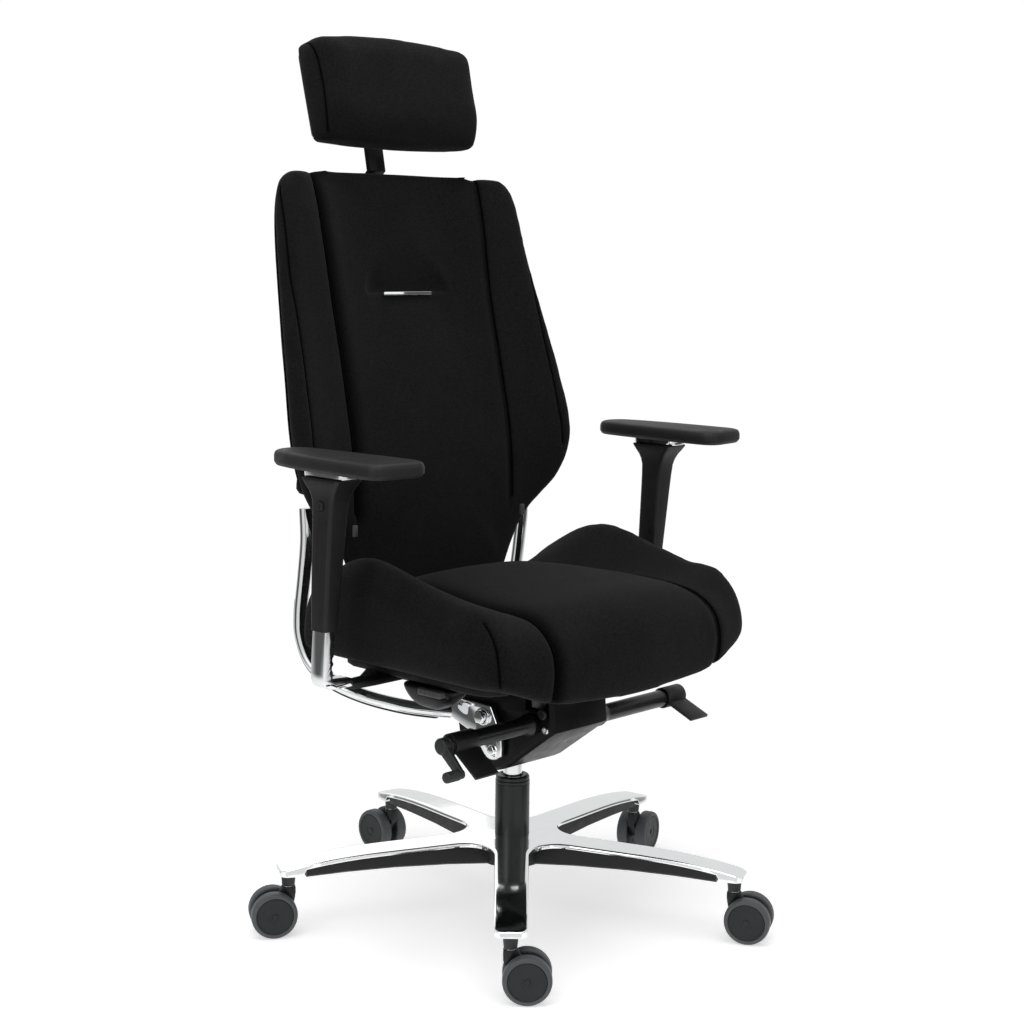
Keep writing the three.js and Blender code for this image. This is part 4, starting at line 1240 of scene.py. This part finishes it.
def build_sleeve(word, side):
    rings = []
    for z in (651, 462.5, 460):
        w, d = (9.2, 13.7) if z > 461 else (10.2, 14.7)
        rings.append([Vector((ARM_X + x, arm_y(z) + y, z)) for x, y in round_rect(w, d, 1.2, 5)])
    for z, w, d in SLEEVE:
        grow = 0.8 if z > 460 else 0.0
        rings.append([Vector((ARM_X + x, arm_y(z) + y, z)) for x,
                      y in round_rect(w - 0.8 + grow, d - 0.8 + grow, 5.5, 5)])
    sleeve = loft(rings).mirrored(side)
    piece(f"arm_sleeve_{word}_finished", sleeve, f"arm_{word}", BLACK, [f"arm_sleeve_{word}"], sharp=38)
    z = 628
    y = arm_y(z)
    outer = ARM_X + 16.35
    # Dark ring round the button: painted shade of the recess it sits in.
    well = lathe(rounded([(5.9, -1.5), (7.9, -1.5), (7.9, 0.55), (7.2, 0.95), (6.5, 0.55), (5.9, 0.2)],
                         0.3), 48)
    well = well.placed(facing(outer, y, z, (1, 0, 0))).mirrored(side)
    piece(f"arm_button_shade_ring_{word}", well, f"arm_{word}", RECESS_SHADE)
    low, high = box_mm(f"arm_button_{word}")
    face = max(abs(low.x), abs(high.x))
    cap = lathe(rounded([(0, -4.4), (5.7, -4.4), (5.7, -0.9), (4.6, 0), (2.4, -0.35), (0, -0.5)], 0.5), 48)
    cap = cap.placed(facing(face, y, z, (1, 0, 0))).mirrored(side)
    piece(f"arm_button_{word}_finished", cap, f"arm_button_{word}", BLACK, [f"arm_button_{word}"])
    # Long oval groove round a raised strip under the button, drawn only as a fine dark line of painted
    # shade.
    path = []
    for k in range(64):
        t = 2 * math.pi * k / 64
        c, s = math.cos(t), math.sin(t)
        zz = 573 + 40 * math.copysign(abs(s) ** 0.55, s)
        yy = arm_y(zz) + 5.6 * math.copysign(abs(c) ** 0.8, c)
        width = np.interp(zz, [q[0] for q in SLEEVE], [q[1] for q in SLEEVE])
        path.append(Vector((ARM_X + width - 0.02, yy, zz)))
    rings = []
    for k, p in enumerate(path):
        tangent = (path[(k + 1) % 64] - path[k - 1]).normalized()
        out = Vector((1, 0, 0))
        across = tangent.cross(out).normalized()
        rings.append([p + across * (0.45 * math.cos(q)) + out * (0.22 * math.sin(q)) for q in
                      (2 * math.pi * i / 8 for i in range(8))])
    groove = loft(rings, closed=True).mirrored(side)
    piece(f"arm_groove_shade_{word}", groove, f"arm_{word}", RECESS_SHADE)


def build_pad(word):
    bm = cad_copy(f"arm_pad_{word}")
    bevel_sharp(bm, 1.6, angle=18, segments=3)
    pad = from_bmesh(f"arm_pad_{word}_finished", bm, f"arm_pad_{word}", PAD_SKIN, [f"arm_pad_{word}"], 45)


def build_arms():
    for word, side in SIDES:
        refined(f"arm_bar_{word}", "seat_frame", CHROME, bevel=0.8, segments=2, angle=35)
        build_sleeve(word, side)
        refined(f"arm_slider_{word}", f"arm_slider_{word}", CHROME, bevel=0.8, segments=2, angle=30)
        build_pad(word)


# ---------- cushions ----------
# Seams of one side, as (distance from the middle, y, z).
BACK_SEAM = [(161, 160, 583), (161, 161, 612), (161, 163, 651), (161, 166, 680), (161, 169, 699),
             (161, 173, 718),
             (160.5, 181, 756), (160, 189, 795), (160, 197.6, 833), (160, 206.3, 871), (160, 213.6, 909.5),
             (161, 219.5, 948), (162.5, 227, 986.5), (162.8, 236, 1025), (164, 243, 1046), (166, 250, 1060)]
BACK_SEAM_TOP = [(167.5, 262, 1069), (168.5, 276, 1071)]
BACK_SIDE_SEAM = [(252, 141, 660), (252, 141, 690), (250, 146, 710), (248.5, 156, 753), (244, 172, 811),
                  (241, 188, 870),
                  (241, 201, 922), (238, 212, 969), (236, 223, 1007), (232, 239, 1044)]
SEAT_SEAM = [(172, -236, 384), (172.6, -241, 407), (171.9, -241.5, 422), (171.4, -239, 436),
             (171.2, -235, 449),
             (170.5, -227.6, 460.8), (169.6, -217, 470.3), (168, -204.4, 478), (166.8, -190, 483),
             (167.2, -173, 486),
             (169.5, -153.7, 487.8), (170.5, -135, 488.7), (171, -116.5, 489.3), (171, -98, 489.7),
             (169.7, -80.7, 489.8),
             (166.7, -64.3, 489.8), (162.4, -49, 490.4), (158.5, -33.4, 491.3), (154.8, -17.4, 491.8),
             (151.2, -1, 491.8),
             (147, 15, 491.8), (142, 50, 492), (138, 90, 492)]
SEAT_DART = [(250, -185.5, 491.5), (249.5, -195.6, 482.6), (248.5, -202, 473.6), (249, -207.4, 463.7),
             (250.2, -211.6, 452.8), (251.5, -214.5, 442), (251.9, -216.3, 431), (251.2, -216.8, 420),
             (249.5, -215.5, 408)]
# Gusset seam of the headrest, about its hinge before it is tilted.
HEAD_SEAM = [(141, -41, 64.5), (148, -50.5, 62.5), (152, -59, 58), (153.2, -65, 51), (153.2, -69, 42),
             (153.2, -70.6, 33),
             (153.2, -72, 22), (152.7, -72.5, 7), (152.2, -72.4, -9), (151.8, -71.7, -23),
             (151.2, -70.6, -39),
             (150.7, -68.5, -54.5), (150.2, -67, -64), (149.4, -64.8, -74)]
HEAD_TILT = 14.0
HEAD_LAYERS = [(34, -84.6), (18, -84.2), (9, -82.6), (3.4, -78.6), (1, -72.6), (0, -65), (0, -54), (0, -44),
               (0, -36), (0, -29), (1.2, -25.2)]


def both_sides(line):
    return [[(side * x, y, z) for x, y, z in line] for side in (-1, 1)]


def quadratic(a, b, c, count):
    """Points from a towards c, which it leaves out, bent towards b."""
    points = []
    for k in range(count):
        t = k / count
        points.append(tuple((1 - t) ** 2 * p + 2 * t * (1 - t) * q + t * t * r for p, q, r in zip(a, b, c)))
    return points


def head_outline(narrower):
    """Outline of the headrest from the front, narrower by some mm, as (x, z) about its hinge."""
    w = 156 - narrower
    low = -87 + narrower
    top = 79 - narrower
    side_top = 50 - narrower
    shoulder = 70 - narrower
    half = [((0, low - 3), (w / 2, low - 2.5), (w - 15, low + 1.5)),
            ((w - 15, low + 1.5), (w - 1.5, low + 2.5), (w - 1, low + 14)),
            ((w - 1, low + 14), (w, 0), (w, side_top)),
            ((w, side_top), (w + 0.5, shoulder - 4), (w - 20, shoulder)),
            ((w - 20, shoulder), (w / 2, top), (0, top))]
    right = [p for a, b, c in half for p in quadratic(a, b, c, 9)]
    return right + [(-x, z) for x, z in [(0, top)] + right[:0:-1]]


def head_turn():
    """Matrix from the headrest's own frame, about its hinge, to where it stands at rest."""
    return Matrix.Translation(pivot_mm("headrest_tilt")) @ Matrix.Rotation(math.radians(-HEAD_TILT), 4, "X")


def head_source():
    """The headrest's form: its outline in layers, with the lower end leaning back."""
    turn = head_turn()
    rings = []
    for narrower, y in HEAD_LAYERS:
        lean = 14 * smoothstep(-y, 40, 84)
        lift = 5 * smoothstep(y, -48, -26)
        rings.append([turn @ Vector((x, y + lean * smoothstep(-z, 28, 90),
                                     z + lift * smoothstep(-z, 60, 84)))
                      for x, z in head_outline(narrower)])
    return work_mesh(loft(rings))


SEAT_HALF = 267.5
SEAT_LOW = 394.5                   # underside, just above the seat pan
LIP_REAR = -197                    # the front lip hangs down in front of the pan, up to here
NOSE_START = -135
NOSE_LOW = 415                     # height where the nose's curve has turned straight down
SEAT_FRONT = ([0, 100, 170, 200, 225, 240, 252, 262, 267.5],
              [-254, -250, -244, -241, -236.5, -231.5, -224, -214, -201])
SEAT_FOOT = ([0, 60, 100, 145, 165, 195, 244, 267], [364, 366, 368, 371, 375, 384, 402, 406])
PANEL_TOP = ([-135, -100, 0, 50, 100, 146], [501.5, 504, 507, 504, 499, 493])
SEAM_TOP = ([-135, -90, -50, 0, 100, 150], [488.7, 489.6, 490.2, 491.8, 491, 485])
SEAM_AT = ([-135, -80, -50, -17, 15, 50, 150], [170.5, 169.5, 162.5, 155, 147, 142, 138])
CREST_AT = ([-110, -40, 0, 36, 60], [250, 248, 239, 230, 226])
BOLSTER_TOP = ([-135, -106, -80, -38, 0, 36, 60, 90, 113, 150, 172],
               [513, 520, 526.5, 536.5, 543, 547, 545, 536, 525, 503, 489])


def seat_top(u, y):
    """Height of the seat's upper side at a distance u from the middle."""
    seam = np.interp(y, *SEAM_AT)
    valley_z = np.interp(y, *SEAM_TOP)
    if u <= seam:
        crown = np.interp(y, *PANEL_TOP) - valley_z
        return valley_z + crown * (1 - (u / seam) ** 2.6)
    t = min((u - seam) / (np.interp(y, *CREST_AT) - seam), 1.0)
    rise = 0.35 * math.sin(t * math.pi / 2) + 0.65 * t ** 1.9
    return valley_z + (np.interp(y, *BOLSTER_TOP) - valley_z) * rise


def seat_section(u):
    """Loop of (y, z) round the seat at a distance u from the middle, rear foot first."""
    end = smoothstep(u, 246, SEAT_HALF) ** 1.3
    fall = 24 * end
    front = np.interp(u, *SEAT_FRONT)
    rear = 144 + 26 * smoothstep(u, 150, 250) - 12 * end
    foot = np.interp(u, *SEAT_FOOT) + 6 * end
    low = SEAT_LOW + 8 * smoothstep(u, 225, SEAT_HALF)
    loop = [(rear - 4, low), (rear, low + 8)]
    back_z = seat_top(u, rear) - fall
    loop += [(rear, lerp(low + 8, back_z - 16, 0.5)), (rear - 1, back_z - 16), (rear - 5, back_z - 6)]
    for k in range(15):
        y = lerp(rear - 14, NOSE_START, k / 14)
        loop.append((y, seat_top(u, y) - fall - (2 if k == 0 else 0)))
    power = lerp(2.6, 2.3, smoothstep(u, 150, 230))
    rise = seat_top(u, NOSE_START) - fall - NOSE_LOW
    for k in range(1, 15):
        a = math.pi / 2 * k / 14
        y = NOSE_START - (NOSE_START - front) * math.sin(a) ** (2 / power)
        loop.append((y, NOSE_LOW + rise * max(math.cos(a), 0.0) ** (2 / power)))
    deep = NOSE_LOW - foot
    loop += [(front + 0.6, foot + 0.62 * deep), (front + 2.4, foot + 0.3 * deep),
             (front + 6, foot + 0.1 * deep),
             (front + 13, foot)]
    lip = max(LIP_REAR, front + 18)
    loop += [(lip, foot + 1), (lip + 4, low), (lerp(lip, rear, 0.5), low)]
    return loop


def seat_source():
    us = [0, 30, 60, 90, 115, 135, 148, 158, 166, 172, 180, 190, 202, 214, 226, 236, 244, 250, 255, 259,
          262.5, 265.5, SEAT_HALF]
    xs = [-u for u in reversed(us[1:])] + us
    return work_mesh(loft([[Vector((x, y, z)) for y, z in seat_section(abs(x))] for x in xs]))


def work_mesh(form):
    """A form as a plain mesh in metres, its faces turned outwards."""
    mesh = bpy.data.meshes.new("work")
    mesh.from_pydata([at(p) for p in form.points], [], form.faces)
    bm = bmesh.new()
    bm.from_mesh(mesh)
    bmesh.ops.recalc_face_normals(bm, faces=bm.faces)
    return mesh_of(bm)


def build_cushions():
    low, high = box_mm("back_slot_bar")
    bar = (low + high) / 2

    def held_back(p, n):
        rear = smoothstep(n[1], 0.2, 0.7)
        slot = smoothstep(70 - abs(p.x), 0, 14) * smoothstep(14 - abs(p.z - bar.z), 0, 6) * (n[1] < 0)
        return max(rear, slot)

    back_seams = both_sides(BACK_SEAM + BACK_SEAM_TOP) + both_sides([(x + 1, y + 5, z) for x, y,
                                                                     z in BACK_SIDE_SEAM])
    back = cushion("back_upholstery", "back_cushion", "backrest", smooth_surface("back_cushion", 3),
                   back_seams,
                   both_sides(BACK_SEAM), held_back, voxel_m=0.0058, start_in_m=0.0025, cap_m=0.0055)
    press_dimple(back, bar)
    hang_down(back, "back_cushion")

    def held_seat(p, n):
        return smoothstep(-n[2], 0.75, 0.98)

    seat_seams = both_sides(SEAT_SEAM) + both_sides(SEAT_DART)
    cushion("seat_upholstery", "seat_cushion", "seat", seat_source(), seat_seams,
            both_sides(SEAT_SEAM), held_seat, voxel_m=0.0058, start_in_m=0.002, cap_m=0.0045, reach_m=0.03)

    def held_head(p, n):
        return smoothstep(n[1], 0.4, 0.8)

    turn = head_turn()
    head_seams = [[tuple(turn @ Vector(p)) for p in line] for line in both_sides(HEAD_SEAM)]
    cushion("headrest_upholstery", "headrest_cushion", "headrest", head_source(), head_seams,
            [], held_head, voxel_m=0.0045, start_in_m=0.002, cap_m=0.0035)


DIMPLE_HALF = 82.0
DIMPLE_HIGH = 76.0
DIMPLE_DEEP_M = 0.010
HEM_MM = 70.0                      # height of the back's lower end that is drawn down
HEM_BELOW_MM = 4.0


def hang_down(obj, node):
    """Draws the lower end of a cushion down to just under its CAD solid, behind the seat."""
    co = coordinates(obj.data)
    low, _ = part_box(node)
    gap = co[:, 2].min() - low[2] + HEM_BELOW_MM / 1000
    top = co[:, 2].min() + HEM_MM / 1000
    co[:, 2] -= gap * np.array([smoothstep(top - z, 0, HEM_MM / 1000) for z in co[:, 2]])
    set_coordinates(obj.data, co)


def press_dimple(obj, bar):
    """Presses the panel in above the slot bar, deepest just over it and arched at the top."""
    mesh = obj.data
    co = coordinates(mesh)
    out = normals(mesh)
    for i, p in enumerate(co):
        q = back_to_mm(p)
        up = q.z - bar.z
        if out[i][1] > 0 or abs(q.x) > DIMPLE_HALF or not -5 < up < DIMPLE_HIGH:
            continue
        arch = math.sqrt(1 - (q.x / DIMPLE_HALF) ** 2)
        fall = 1 - smoothstep(up, 0.06 * DIMPLE_HIGH, DIMPLE_HIGH * max(arch, 0.3))
        co[i][1] += DIMPLE_DEEP_M * smoothstep(arch, 0.0, 0.75) * fall * smoothstep(up, -2.0, 2.5)
    set_coordinates(mesh, co)


make_camera()
make_studio()
for castor_name in ("front", "right", "rear_right", "rear_left", "left"):
    build_castor(castor_name)
build_base()
build_mechanism()
build_carrier()
build_backrest()
build_headrest()
build_seat_parts()
build_arms()
build_cushions()
